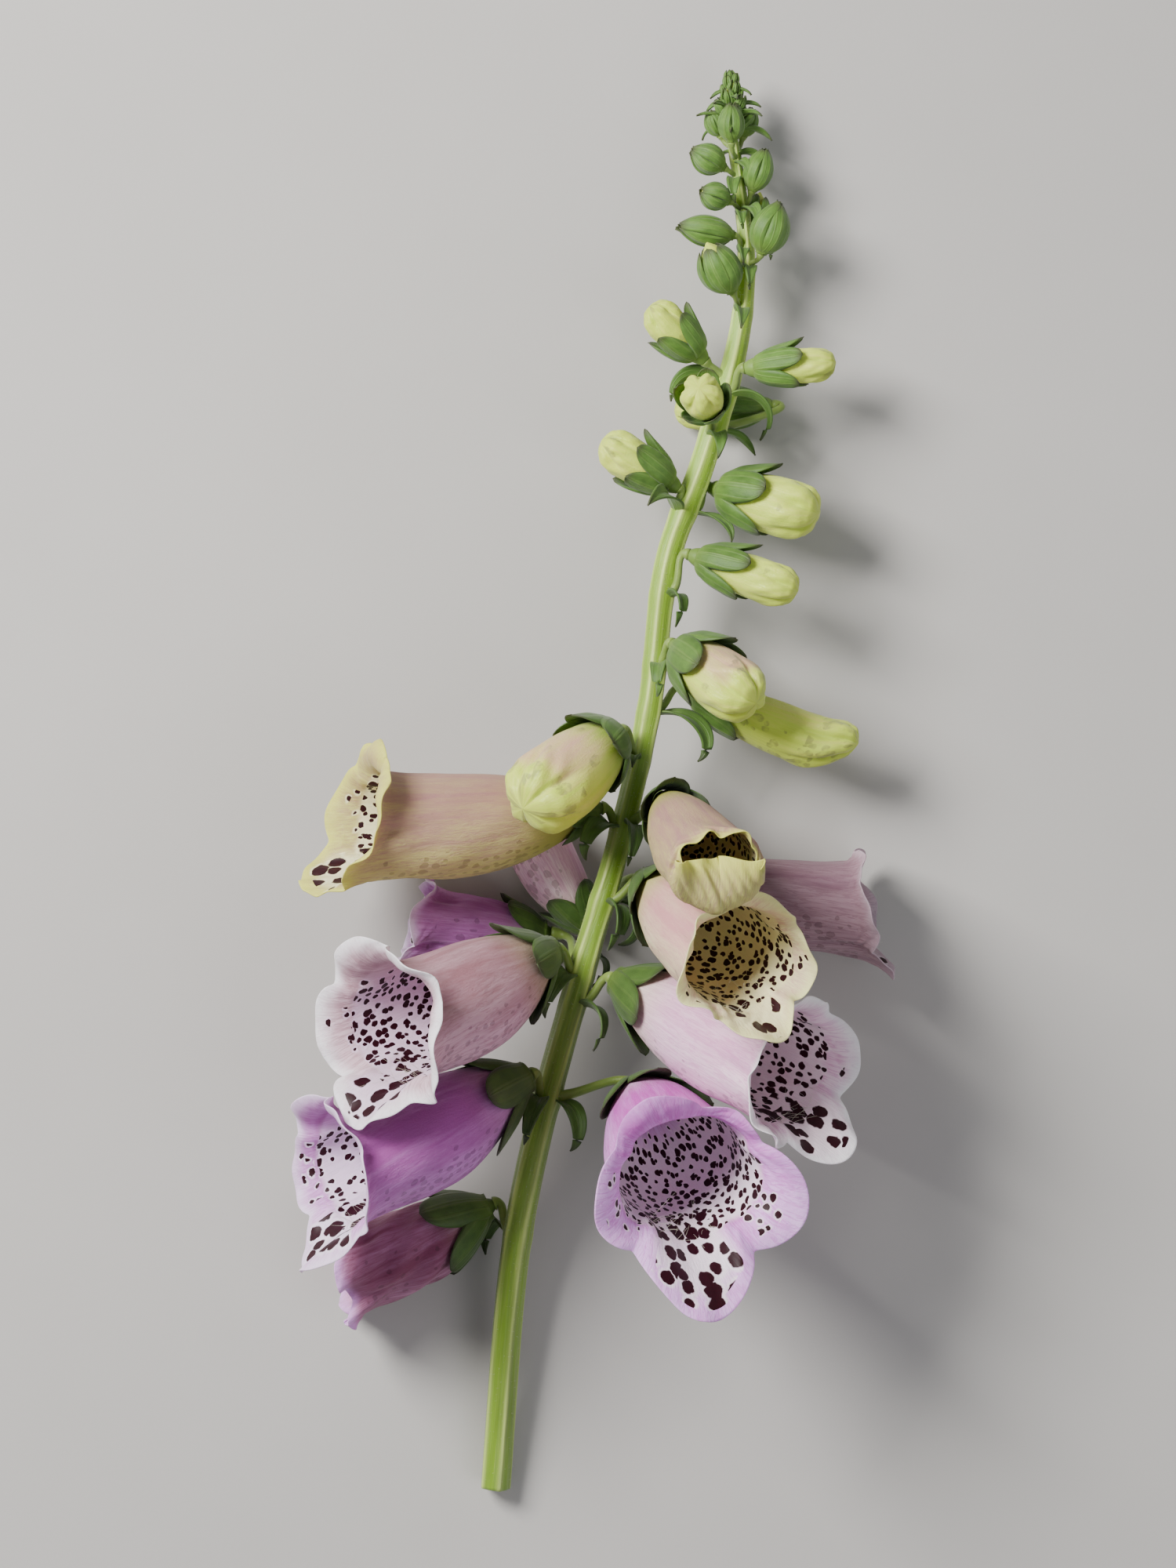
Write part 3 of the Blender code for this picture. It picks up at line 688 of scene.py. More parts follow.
def add_pedicel(body, node, seat, thick, depth):
    """A short stalk that leaves the stem and meets the foot of a bell or bud."""
    centre, along, radius = stem_at(node)
    out = seat.base - centre
    out = unit(out - out @ along * along)
    start = centre + out * (radius - 1.0)
    foot = seat.base - seat.axis * depth
    reach = np.linalg.norm(foot - start) * 0.45
    leaving = start + unit(out + 0.5 * along) * reach
    route = bezier(start, leaving, foot - seat.axis * reach, foot, STALK_ROWS)
    t = np.linspace(0, 1, STALK_ROWS)
    girth = thick * (1 + 0.75 * np.exp(-t * 9) + 0.7 * smooth(0.75, 1.0, t))
    rings = tube_rings(route, girth, 16, seat.lower)
    body.skin(rings, layered(0, t * 10, node)[:, None, :], np.array([0.0, 0.25, 0.35]), slot=STALK_SLOT)
    return start, out, along


def sepal(body, seat, turn, girth, length, width, flare, lift, rng, foot=-0.8):
    """One sepal that hugs what it holds. girth(along, angle) gives that, in millimetres."""
    v = np.linspace(0, 1, 26)[:, None]
    u = np.linspace(-1, 1, 15)[None, :]
    half = width * (1 - v) ** 0.55 * (0.7 + 1.0 * v)
    along = foot + (length - foot) * v
    inside = girth(along, turn) + 0.35 + lift
    middle_part = np.sin(math.pi * v)
    crown = 0.35 * (1 - u**2) * width / 4 - 0.3 * u**4
    veins = 0.1 * np.cos(u * math.pi * 2.5)
    out = inside + flare * v**4 + (crown + veins) * middle_part + rng.normal(0, 0.15) * v * u
    middle = seat.point(along, out, turn + u * half / np.maximum(inside, 1.2))
    edge = abs(u) ** 5
    place = layered(u, v, rng.uniform(0, 90))
    paint = layered(edge, smooth(0.8, 1.0, v), 1 - smooth(0.0, 0.35, v))
    body.shell(middle, LEAF_WALL * (1 - 0.6 * np.maximum(edge, v**6)), False, place, paint)


def add_calyx(body, seat, girth, length, width, flare, rng, gape=0.0):
    """Five sepals, two of them under the others, and the cup they grow from."""
    for k in SEPAL_ORDER:
        turn = TAU * (k + 0.5) / 5 + rng.normal(0, 0.06)
        lift = 0.1 if k in UNDER_SEPALS else 0.5
        reach = length * rng.uniform(0.9, 1.08)
        sepal(body, seat, turn, girth, reach, width, flare + gape * (k == 2), lift, rng)
    t = np.linspace(0, 1, 7)
    cup = np.interp(t, (0, 0.4, 1), (1.0, 1.9, 2.6)) * min(1.0, width / 3.5)
    rings = seat.point((-2.4 + 3.4 * t)[:, None], cup[:, None], np.arange(20)[None, :] * TAU / 20)
    body.skin(rings, np.array([0.0, 0.2, 5.0]), np.array([0.0, 0.0, 0.8]))


def add_bract(body, start, out, along, bract, rng, slim=0.27):
    """A lance-shaped leaf that leaves the stem below a pedicel and curls back."""
    turn, length, droop = bract
    turn = math.radians(turn * BRACT_TURN)
    length = length * BRACT_LENGTH
    rows, cols = 34, 11
    t = np.linspace(0, 1, rows)
    u = np.linspace(-1, 1, cols)
    heading = unit(out * math.cos(turn) + np.cross(out, along) * math.sin(turn))
    pitch = 18 - BRACT_DROOP * droop * t**1.5 + 12 * np.sin(t * 5 + rng.uniform(0, 6)) * t
    pitch = np.radians(pitch)[:, None]
    steps = (heading * np.cos(pitch) + along * np.sin(pitch)) * length / (rows - 1)
    route = start - along * 1.2 + np.cumsum(steps, 0) - steps[0]
    flat = unit(np.cross(steps, along + 0.01 * heading))
    twist = (rng.choice((-1, 1)) * rng.uniform(0.4, 1.3) * t)[:, None]
    flat = flat * np.cos(twist) + unit(np.cross(flat, steps)) * np.sin(twist)
    normal = unit(np.cross(flat, steps))
    half = length * slim / 2 * np.clip(np.sin(math.pi * np.clip(t, 0.02, 1) ** 0.62), 0, 1) ** 0.8
    half = np.maximum(half, 0.12)[:, None]
    aside, fold = (u * half)[..., None], (0.35 * abs(u) * half)[..., None]
    middle = route[:, None, :] + flat[:, None, :] * aside + normal[:, None, :] * fold
    t = t[:, None]
    place = layered(u, t, rng.uniform(0, 90))
    paint = layered(abs(u) ** 4, smooth(0.78, 1.0, t), 1 - smooth(0, 0.3, t))
    body.shell(middle, LEAF_WALL * 0.9, False, place, paint)


def build_bell_calyx(number, bell, seat):
    rng = seeded("calyx", number)
    # A bell's sepals lie in the shade behind it, so their green is darkened as painted shade.
    body = Body(0.45 + 0.15 * rng.random())

    def girth(along, angle):
        share = np.clip(along / seat.length, 0, 1)
        return tube_radius(bell.throat, share, angle) * 1.03 + PETAL_WALL

    length, width, flare = CALYX_SIZES.get(number, USUAL_CALYX)
    add_calyx(body, seat, girth, length, width, flare, rng, gape=1.4 * flare)
    start, out, along = add_pedicel(body, bell.node, seat, 1.0, 2.0)
    add_bract(body, start, out, along, bell.bract, rng)
    piece = body.finish(f"sepals_{number:02d}", [LEAF_GREEN, STALK_GREEN])
    grown(piece, "calyx_green", f"calyx_{number:02d}")


# ---------------------------------------------------------------- buds

BUD_FLUSH = {"blush": 0.75, "speckled": 0.15, "green": 0.0}
# The longest sepals of a bud, and those of a wide one.
BUD_SEPAL = 13.5
WIDE_BUD = 16
WIDE_BUD_SEPAL = 10.5


def bud_rings(bud, seat, rng):
    """A closed corolla whose five lobes are folded in over its tip."""
    share, angle = closed_grid(56, 96)
    out = curve_through(BUD_PROFILE, share) * bud.width / 2
    tip = smooth(0.55, 0.85, share)
    swirl = angle - 0.5 * (share - 0.6) * tip
    seams = sum(hump(wrapped(swirl - TAU * (k + 0.5) / 5), 0.13) for k in range(5))
    pads = 0.08 * np.cos(5 * swirl) * tip
    wrinkles = 0.045 * waves(rng, angle + 2 * share, 6, 13, 6) * smooth(0.5, 0.8, share)
    ribs = 0.012 * waves(rng, angle, 5, 10, 4)
    out = out * (1 - 0.17 * seams * tip + pads + wrinkles + ribs)
    out = out * (1 + 0.06 * np.cos(angle) * np.sin(math.pi * share))
    along = seat.length * share - 0.8 * seams * smooth(0.8, 1.0, share) * (1 - share)
    hook = bud.hook * bud.width * smooth(0.6, 1.0, share) ** 2
    rings = seat.point(along, np.maximum(out, 0.02), angle) - hook[..., None] * seat.lower
    return rings, share, angle


def bud_coat(bud, share, angle, number, seat):
    """place, paint and marks of a bud's petals."""
    signed = wrapped(angle)
    off = np.degrees(abs(signed))
    tip = smooth(0.62, 0.9, share)
    flush = BUD_FLUSH[bud.look] * smooth(70, 140, off) * smooth(0.15, 0.5, share)
    flush = flush * (1 - smooth(0.72, 0.86, share))
    blotch = 0.3 if bud.look == "green" else 0.55
    speckle = 0.6 * smooth(110, 60, off) * (bud.look == "speckled")
    place = layered(signed * bud.width / 2, share * seat.length, signed + TAU * number)
    paint = layered(flush, tip * 0.6, 1 - smooth(0.1, 0.5, share))
    return place, paint, layered(speckle, blotch * (0.4 + 0.6 * tip), 0)


def build_large_bud(number, bud):
    name = f"bud_{number:02d}"
    rng = seeded("bud", number)
    seat = Seat(name, bud.base, bud.tip)
    rings, share, angle = bud_rings(bud, seat, rng)
    body = Body()
    body.skin(rings, *bud_coat(bud, share, angle, number, seat))
    grown(body.finish(name + "_petals", [BUD_SKIN]), "bud_cream", name)

    def girth(along, angle):
        return curve_through(BUD_PROFILE, np.clip(along / seat.length, 0, 1)) * bud.width / 2 * 1.09

    # Painted shade: the sepals of the lower buds are darkened more than those higher up.
    body = Body(max(0.0, 0.4 - 0.05 * number))
    longest = BUD_SEPAL if bud.width < WIDE_BUD else WIDE_BUD_SEPAL
    reach = min(0.62 * seat.length, longest)
    add_calyx(body, seat, girth, reach, max(3.8, bud.width * 0.42), 0.6, rng, gape=1.0)
    start, out, along = add_pedicel(body, bud.node, seat, 0.85, 2.0)
    add_bract(body, start, out, along, bud.bract, rng)
    piece = body.finish(f"bud_sepals_{number:02d}", [LEAF_GREEN, STALK_GREEN])
    grown(piece, "calyx_green", f"bud_calyx_{number:02d}")


def closed_sepal_bud(body, seat, width, rng, open_share=1.0):
    """A young bud: five sepals closed over a core."""

    def girth(along, angle):
        return curve_through(GREEN_PROFILE, np.clip(along / seat.length, 0, 1)) * width / 2 * 0.9

    share, angle = closed_grid(22, 30)
    core = seat.point(seat.length * share * 0.97, girth(share * seat.length, angle), angle)
    place = layered(angle, share * seat.length, angle)
    body.skin(core, place, layered(0, 0.5, 1 - share), slot=CORE_SLOT)
    for k in SEPAL_ORDER:
        turn = TAU * (k + 0.5) / 5 + rng.normal(0, 0.05)
        lift = 0.0 if k in UNDER_SEPALS else 0.25
        reach = seat.length * open_share * rng.uniform(0.98, 1.05)
        sepal(body, seat, turn, girth, reach, width * 0.42, 0.15, lift, rng, foot=-0.5)


def build_young_bud(name, bud, number, open_share):
    rng = seeded("young_bud", number)
    seat = Seat(None, bud.base, bud.tip)
    body = Body()
    closed_sepal_bud(body, seat, bud.width, rng, open_share)
    start, out, along = add_pedicel(body, bud.node, seat, 0.6, 0.5)
    add_bract(body, start, out, along, bud.bract, rng, slim=0.3)
    piece = body.finish(name + "_shoot", [LEAF_GREEN, STALK_GREEN, BUD_SKIN])
    grown(piece, "calyx_green", name)


TIP_FOOT = (14.2, 280.5, 12.0)
TIP_TOP = (14.1, 293, 12.6)
TIP_BUDS = 15
GOLDEN_TURN = math.radians(137.5)


def build_tip():
    """The growing tip: ever smaller buds in a spiral, each over a curled bract."""
    rng = seeded("tip")
    body = Body()
    low, high = np.array(TIP_FOOT) + SHIFT, np.array(TIP_TOP) + SHIFT
    axis = unit(high - low)
    sideways = unit(np.cross(axis, (0, 0, 1)))
    route = bezier(low, low + axis * 3, high - axis * 3, high, 12)
    rings = tube_rings(route, np.linspace(1.2, 0.5, 12), 14)
    body.skin(rings, np.zeros(3), np.array([0, 0.2, 0.2]), slot=STALK_SLOT)
    for k in range(TIP_BUDS):
        t = (k + 2.5) / (TIP_BUDS + 1.5)
        turn = k * GOLDEN_TURN
        radial = sideways * math.cos(turn) + np.cross(axis, sideways) * math.sin(turn)
        size = 4.7 * (1 - t) + 2.2 * t
        lean = math.radians(52 * (1 - t) + 6)
        base = low + (high - low) * t + radial * (1.0 - 0.7 * t)
        way = axis * math.cos(lean) + radial * math.sin(lean)
        foot = base - SHIFT
        seat = Seat(None, foot, foot + way * size * 1.25, -radial + 0.01)
        closed_sepal_bud(body, seat, size * 0.66, rng)
        bract = (rng.normal(0, 15), size * 1.7, 15 + 60 * rng.random())
        add_bract(body, base - radial * 0.4, radial, axis, bract, rng, slim=0.24)
    piece = body.finish("growing_tip", [LEAF_GREEN, STALK_GREEN, BUD_SKIN])
    grown(piece, "calyx_green", "tip_cluster")


# ---------------------------------------------------------------- stem


# Ridges of the stem: place round it and width as angles, height as a share of the radius.
STEM_RIDGES = ((0.3, 0.2, 0.132), (1.5, 0.16, 0.096), (2.9, 0.2, 0.12), (4.1, 0.18, 0.108), (5.3, 0.2, 0.12))
STEM_ROWS = 420
STEM_COLS = 72
STEM_TWIST = 1.4
STEM_DOWN = 2600
# The slanted cut at the lower end, hollow in its pith: share of the radius and depth.
CUT_RINGS = ((0.02, 0.5), (0.35, 0.45), (0.7, 0.05), (0.9, 0.0))
CUT_WAY = np.array([0.05, 1.0, 0.1])


def stem_skin_grid(line, rng):
    """Rings of the stem's skin, with place and paint."""
    t = np.linspace(0, 1, STEM_ROWS)[:, None]
    angle = np.arange(STEM_COLS) * TAU / STEM_COLS
    route, radius = line[:, None, :3] + SHIFT, line[:, 3:]
    twisted = angle - STEM_TWIST * t
    ridge = sum(height * hump(wrapped(twisted - place), width) for place, width, height in STEM_RIDGES)
    items = BELLS + LARGE_BUDS + SMALL_BUDS + GREEN_BUDS
    swell = sum(0.05 * hump(line[:, 1:2] - item.node + 1, 2.2) for item in items)
    shape = radius * (0.95 + ridge + swell + 0.01 * waves(rng, angle + 6 * t, 2, 5, 3))
    rings = route + (tube_rings(route[:, 0], 1.0, STEM_COLS) - route) * shape[..., None]
    place = layered(angle * radius, t * 330, ridge * 10)
    # The first paint value follows the ridges' height, for a painted highlight along every ridge.
    paint = layered(ridge / 0.11, 1 - smooth(0.25, 0.75, t), smooth(0.0, 0.12, t))
    return rings, place, paint


def stem_cut(centre, rim):
    """Rings, place and paint of the cut end, from its middle outwards."""
    angle = np.arange(STEM_COLS) * TAU / STEM_COLS
    rings, place, paint = [], [], []
    for k, (share, depth) in enumerate(CUT_RINGS):
        rings.append(centre + (rim - centre) * share + CUT_WAY * depth)
        share = share * (k > 0)
        place.append(layered(angle * share * 3, share, 77.0))
        paint.append(np.tile([0.0, 0.0, -1.0 + 0.3 * share], (STEM_COLS, 1)))
    return rings, place, paint


def build_stem():
    rng = seeded("stem")
    line = catmull(STEM_ROUTE, np.linspace(0, 1, STEM_ROWS))
    centre = line[:, :3] + SHIFT
    skin = stem_skin_grid(line, rng)
    cut = stem_cut(centre[0], skin[0][0])
    rings, place, paint = (np.concatenate(parts) for parts in zip(cut, skin))
    body = Body()
    body.skin(rings, place, paint)
    grown(body.finish("ridged_stem", [STEM_SKIN]), "stem_green", "stem")
    build_stem_down(skin[0], centre, rng)


def build_stem_down(rings, centre, rng):
    """Short soft hairs all over the stem, each a thin spike."""
    body = Body()
    for _ in range(STEM_DOWN):
        i, j = rng.integers(3, STEM_ROWS - 4), rng.integers(0, STEM_COLS)
        base = rings[i, j]
        way = unit(unit(base - centre[i]) + rng.normal(0, 0.35, 3))
        tip = base + way * rng.uniform(0.3, 0.8)
        side = unit(np.cross(way, (0.3, 1, 0.2))) * 0.035
        other = unit(np.cross(way, side)) * 0.035
        points = np.array([base - side, base + side, base + other, tip])
        body.surface(points, [[0, 2, 1], [0, 1, 3], [1, 2, 3], [2, 0, 3]], np.zeros(3), np.zeros(3))
    grown(body.finish("stem_down", [HAIR]), "stem_green")


def grown(piece, slot, *nodes):
    """Fixes a piece to the spike and hides the CAD solids that it stands for."""
    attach(piece, "root")
    if nodes:
        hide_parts(*nodes)
    return piece


# ---------------------------------------------------------------- materials


def colour(red, green, blue):
    """A screen colour, 0 to 255, as the linear one that the shader takes."""
    channels = [v / 255 for v in (red, green, blue)]
    return tuple(v / 12.92 if v <= 0.04045 else ((v + 0.055) / 1.055) ** 2.4 for v in channels) + (1.0,)


class Tree:
    """Adds nodes to a node tree. A value given as a socket is linked, any other is set."""

    def __init__(self, tree):
        self.tree = tree

    def node(self, kind, inputs=None, **settings):
        made = self.tree.nodes.new(kind)
        for key, value in settings.items():
            setattr(made, key, value)
        for key, value in (inputs or {}).items():
            if isinstance(value, bpy.types.NodeSocket):
                self.tree.links.new(value, made.inputs[key])
            else:
                made.inputs[key].default_value = value
        return made

    def link(self, value, socket):
        self.tree.links.new(value, socket)

    def maths(self, operation, a, b=0.0, c=0.0, clamp=False):
        made = self.node("ShaderNodeMath", {0: a, 1: b, 2: c}, operation=operation, use_clamp=clamp)
        return made.outputs[0]

    def times(self, a, b):
        return self.maths("MULTIPLY", a, b)

    def times_plus(self, a, b, c, clamp=False):
        """a times b, plus c."""
        return self.maths("MULTIPLY_ADD", a, b, c, clamp)

    def mix(self, factor, a, b):
        settings = {"data_type": "RGBA", "blend_type": "MIX", "clamp_factor": True}
        return self.node("ShaderNodeMix", {0: factor, 6: a, 7: b}, **settings).outputs[2]

    def step(self, value, low, high, to_low=0.0, to_high=1.0):
        made = self.node("ShaderNodeMapRange", {0: value, 1: low, 2: high, 3: to_low, 4: to_high},
                         interpolation_type="SMOOTHSTEP", clamp=True)
        return made.outputs[0]

    def noise(self, vector, scale, detail=2.0, rough=0.5, distortion=0.0):
        return self.node("ShaderNodeTexNoise", {"Vector": vector, "Scale": scale, "Detail": detail,
                                                "Roughness": rough, "Distortion": distortion}).outputs[0]

    def vectors(self, operation, a, b):
        return self.node("ShaderNodeVectorMath", {0: a, 1: b}, operation=operation).outputs[0]

    def stretch(self, vector, scale):
        return self.vectors("MULTIPLY", vector, scale)

    def read(self, name, output="Vector"):
        return self.node("ShaderNodeAttribute", attribute_name=name).outputs[output]

    def where(self):
        return self.node("ShaderNodeTexCoord").outputs["Object"]

    def parts(self, vector):
        return self.node("ShaderNodeSeparateXYZ", {0: vector}).outputs


def new_group(name, takes, gives):
    tree = bpy.data.node_groups.new(name, "ShaderNodeTree")
    for label, kind in takes:
        tree.interface.new_socket(label, in_out="INPUT", socket_type=kind)
    for label, kind in gives:
        tree.interface.new_socket(label, in_out="OUTPUT", socket_type=kind)
    make = Tree(tree)
    return tree, make, make.node("NodeGroupInput").outputs, make.node("NodeGroupOutput")


# Cell, least and largest radius (shares of the cell) and stretch of the fine and the bold spots.
FINE_SPOTS = (1.9, 0.22, 0.46, 0.8)
BOLD_SPOTS = (3.7, 0.3, 0.52, 0.68)


def spots_group():
    """Dark spots of two sizes with a pale ring, in the plane of the petal (millimetres)."""
    tree, make, given, out = new_group(
        "foxglove_spots",
        (("Place", "NodeSocketVector"), ("Fine", "NodeSocketFloat"), ("Bold", "NodeSocketFloat")),
        (("Spot", "NodeSocketFloat"), ("Ring", "NodeSocketFloat")),
    )
    warp = make.node("ShaderNodeTexNoise", {"Vector": given["Place"], "Scale": 0.55, "Detail": 2.0})
    shifted = make.vectors("SUBTRACT", warp.outputs[1], (0.5, 0.5, 0.5))
    shifted = make.stretch(shifted, (1.3, 1.3, 0.0))
    place = make.vectors("ADD", given["Place"], shifted)
    spots, rings = [], []
    for density, (cell, low, high, stretch) in ((given["Fine"], FINE_SPOTS), (given["Bold"], BOLD_SPOTS)):
        scaled = make.stretch(place, (1 / cell, stretch / cell, 1.0))
        cells = make.node("ShaderNodeTexVoronoi", {"Vector": scaled, "Scale": 1.0, "Randomness": 0.9},
                          voronoi_dimensions="2D")
        chance = make.parts(cells.outputs["Color"])
        radius = make.times_plus(chance[0], high - low, low)
        radius = make.times(radius, make.step(density, 0.0, 0.6, 0.55, 1.0))
        there = make.maths("LESS_THAN", chance[1], density)
        gap = make.maths("SUBTRACT", radius, cells.outputs["Distance"])
        spots.append(make.times(make.step(gap, -0.035, 0.035), there))
        rings.append(make.times(make.step(gap, -0.26, -0.03), there))
    make.link(make.maths("MAXIMUM", *spots), out.inputs["Spot"])
    make.link(make.maths("MAXIMUM", *rings), out.inputs["Ring"])
    return tree


def streaks_group():
    """Fine long veins that run from foot to margin and branch a little."""
    tree, make, given, out = new_group(
        "petal_streaks",
        (("Place", "NodeSocketVector"),),
        (("Streak", "NodeSocketFloat"), ("Vein", "NodeSocketFloat")),
    )
    _, along, turn = make.parts(given["Place"])
    bell = make.maths("FLOOR", make.times_plus(turn, 1 / TAU, 0.5))
    along = make.times_plus(bell, 90.0, along)
    across = make.times(make.maths("COSINE", turn), 11.0)
    depth = make.times(make.maths("SINE", turn), 11.0)
    around = make.node("ShaderNodeCombineXYZ", {0: across, 1: depth, 2: along}).outputs[0]
    broad = make.noise(make.stretch(around, (0.45, 0.45, 0.05)), 1.0, 3.0, 0.6, 0.3)
    thin = make.noise(make.stretch(around, (1.5, 1.5, 0.11)), 1.0, 3.0, 0.6, 0.6)
    ridge = make.maths("ABSOLUTE", make.maths("SUBTRACT", thin, 0.5))
    make.link(broad, out.inputs["Streak"])
    make.link(make.step(ridge, 0.07, 0.0), out.inputs["Vein"])
    return tree


def new_material(name):
    material = bpy.data.materials.new(name)
    material.use_nodes = True
    material.node_tree.nodes.clear()
    make = Tree(material.node_tree)
    output = make.node("ShaderNodeOutputMaterial")
    surface = make.node("ShaderNodeBsdfPrincipled")
    make.link(surface.outputs[0], output.inputs[0])
    return material, make, surface


def relief(make, surface, height, strength, distance):
    bump = make.node("ShaderNodeBump", {"Strength": strength, "Distance": distance, "Height": height})
    make.link(bump.outputs[0], surface.inputs["Normal"])


def soften(surface, weight, scale, radius):
    surface.inputs["Subsurface Weight"].default_value = weight
    surface.inputs["Subsurface Scale"].default_value = scale
    surface.inputs["Subsurface Radius"].default_value = radius


def streaks_and_spots(make, place, fine, bold):
    streaks = make.node("ShaderNodeGroup", {"Place": place}, node_tree=STREAKS)
    spots = make.node("ShaderNodeGroup", {"Place": place, "Fine": fine, "Bold": bold}, node_tree=SPOTS)
    return streaks.outputs, spots.outputs


def petal_material(name, pale, deep, margin, throat, foot, spot):
    material, make, surface = new_material(name)
    place = make.read("place")
    flush, rim, green = make.parts(make.read("paint"))
    fine, bold, ground = make.parts(make.read("marks"))
    inner = make.read("inner", "Fac")
    streaks, spots = streaks_and_spots(make, place, fine, bold)
    uneven = make.maths("SUBTRACT", streaks["Streak"], 0.5)
    blush = make.times_plus(uneven, 1.1, flush, clamp=True)
    tint = make.mix(blush, pale, deep)
    veins = make.times(streaks["Vein"], 0.46)
    tint = make.mix(veins, tint, deep)
    tint = make.mix(green, tint, foot)
    tint = make.mix(ground, tint, throat)
    cloud = make.noise(place, 0.35, 3.0)
    tint = make.mix(make.times(rim, make.step(cloud, 0.2, 0.6, 0.6, 1.0)), tint, margin)
    ring = make.times(spots["Ring"], make.times(inner, 0.85))
    tint = make.mix(ring, tint, throat)
    seen = make.step(inner, 0.0, 1.0, 0.3, 1.0)
    tint = make.mix(make.times(spots["Spot"], seen), tint, spot)
    make.link(tint, surface.inputs["Base Color"])
    rough = make.times_plus(cloud, 0.2, 0.46)
    rough = make.maths("SUBTRACT", rough, make.times(spots["Spot"], 0.1))
    make.link(rough, surface.inputs["Roughness"])
    surface.inputs["Sheen Weight"].default_value = 0.03
    surface.inputs["Sheen Roughness"].default_value = 0.4
    surface.inputs["Specular IOR Level"].default_value = 0.24
    soften(surface, 0.45, 0.001, (1.0, 0.75, 0.85))
    grain = make.noise(place, 2.2, 3.0, 0.6)
    crinkle = make.noise(make.stretch(place, (0.9, 0.4, 0.0)), 1.0, 4.0, 0.6, 0.8)
    height = make.times_plus(crinkle, 1.6, make.times(grain, 0.6))
    height = make.times_plus(streaks["Vein"], -0.4, height)
    height = make.times(height, make.times_plus(spots["Spot"], -0.8, 1.0))
    relief(make, surface, height, 0.35, 0.0004)
    return material


def bud_material():
    material, make, surface = new_material("bud_petal")
    place = make.read("place")
    flush, tip, green = make.parts(make.read("paint"))
    fine, bold, _ = make.parts(make.read("marks"))
    streaks, spots = streaks_and_spots(make, place, fine, bold)
    tint = make.mix(streaks["Streak"], colour(184, 212, 50), colour(244, 255, 118))
    tint = make.mix(make.times(green, 0.8), tint, colour(122, 156, 44))
    tint = make.mix(make.times(tip, make.noise(place, 0.5)), tint, colour(176, 196, 44))
    uneven = make.maths("SUBTRACT", streaks["Streak"], 0.5)
    blush = make.times_plus(uneven, 0.8, flush, clamp=True)
    tint = make.mix(blush, tint, colour(212, 160, 146))
    cloud = make.noise(place, 0.6, 3.0)
    blotch = make.times(spots["Spot"], make.step(cloud, 0.35, 0.65, 0.1, 0.5))
    tint = make.mix(blotch, tint, colour(112, 108, 78))
    make.link(tint, surface.inputs["Base Color"])
    make.link(make.times_plus(cloud, 0.2, 0.36), surface.inputs["Roughness"])
    surface.inputs["Sheen Weight"].default_value = 0.15
    soften(surface, 0.35, 0.002, (1.0, 0.9, 0.4))
    height = make.times_plus(streaks["Vein"], -0.5, make.noise(place, 2.0, 3.0))
    relief(make, surface, height, 0.35, 0.0004)
    return material


def leaf_material():
    material, make, surface = new_material("sepal_leaf")
    place = make.read("place")
    across, along, _ = make.parts(place)
    edge, tip, foot = make.parts(make.read("paint"))
    cloud = make.noise(make.stretch(place, (1.0, 2.0, 1.0)), 2.2, 4.0, 0.6)
    painted_shade = make.parts(make.read("marks"))[0]
    tint = make.mix(cloud, colour(42, 76, 18), colour(116, 160, 62))
    bend = make.times(across, make.times_plus(along, -0.5, 1.0))
    lines = make.maths("SINE", make.times(bend, 15.0))
    vein = make.step(lines, 0.62, 1.0)
    rib = make.step(make.maths("ABSOLUTE", across), 0.09, 0.0)
    vein = make.maths("MAXIMUM", make.times(vein, 0.55), rib)
    tint = make.mix(make.times(vein, 0.32), tint, colour(140, 165, 84))
    tint = make.mix(make.times(foot, 0.55), tint, colour(126, 156, 60))
    tint = make.mix(make.times(edge, 0.3), tint, colour(58, 74, 34))
    tint = make.mix(make.times(tip, 0.75), tint, colour(58, 44, 34))
    # Painted shade: leaves in shade behind the bells and low on the spike are darkened towards deep green.
    tint = make.mix(painted_shade, tint, colour(22, 38, 10))
    make.link(tint, surface.inputs["Base Color"])
    make.link(make.times_plus(cloud, 0.25, 0.38), surface.inputs["Roughness"])
    surface.inputs["Sheen Weight"].default_value = 0.12
    surface.inputs["Specular IOR Level"].default_value = 0.4
    soften(surface, 0.15, 0.001, (0.6, 1.0, 0.3))
    fuzz = make.noise(make.stretch(place, (30.0, 60.0, 1.0)), 1.0, 2.0)
    height = make.times_plus(vein, 0.8, make.times(fuzz, 0.4))
    relief(make, surface, height, 0.5, 0.0003)
    return material


def stalk_material():
    material, make, surface = new_material("stalk_skin")
    place = make.where()
    _, old, pale = make.parts(make.read("paint"))
    cloud = make.noise(place, 420.0, 3.0)
    tint = make.mix(cloud, colour(92, 124, 40), colour(140, 165, 66))
    tint = make.mix(make.times(old, 0.4), tint, colour(70, 92, 34))
    tint = make.mix(make.times(pale, 0.5), tint, colour(166, 184, 96))
    make.link(tint, surface.inputs["Base Color"])
    make.link(make.times_plus(cloud, 0.2, 0.38), surface.inputs["Roughness"])
    surface.inputs["Sheen Weight"].default_value = 0.3
    soften(surface, 0.2, 0.001, (0.6, 1.0, 0.3))
    relief(make, surface, make.noise(place, 2600.0, 2.0), 0.3, 0.0002)
    return material


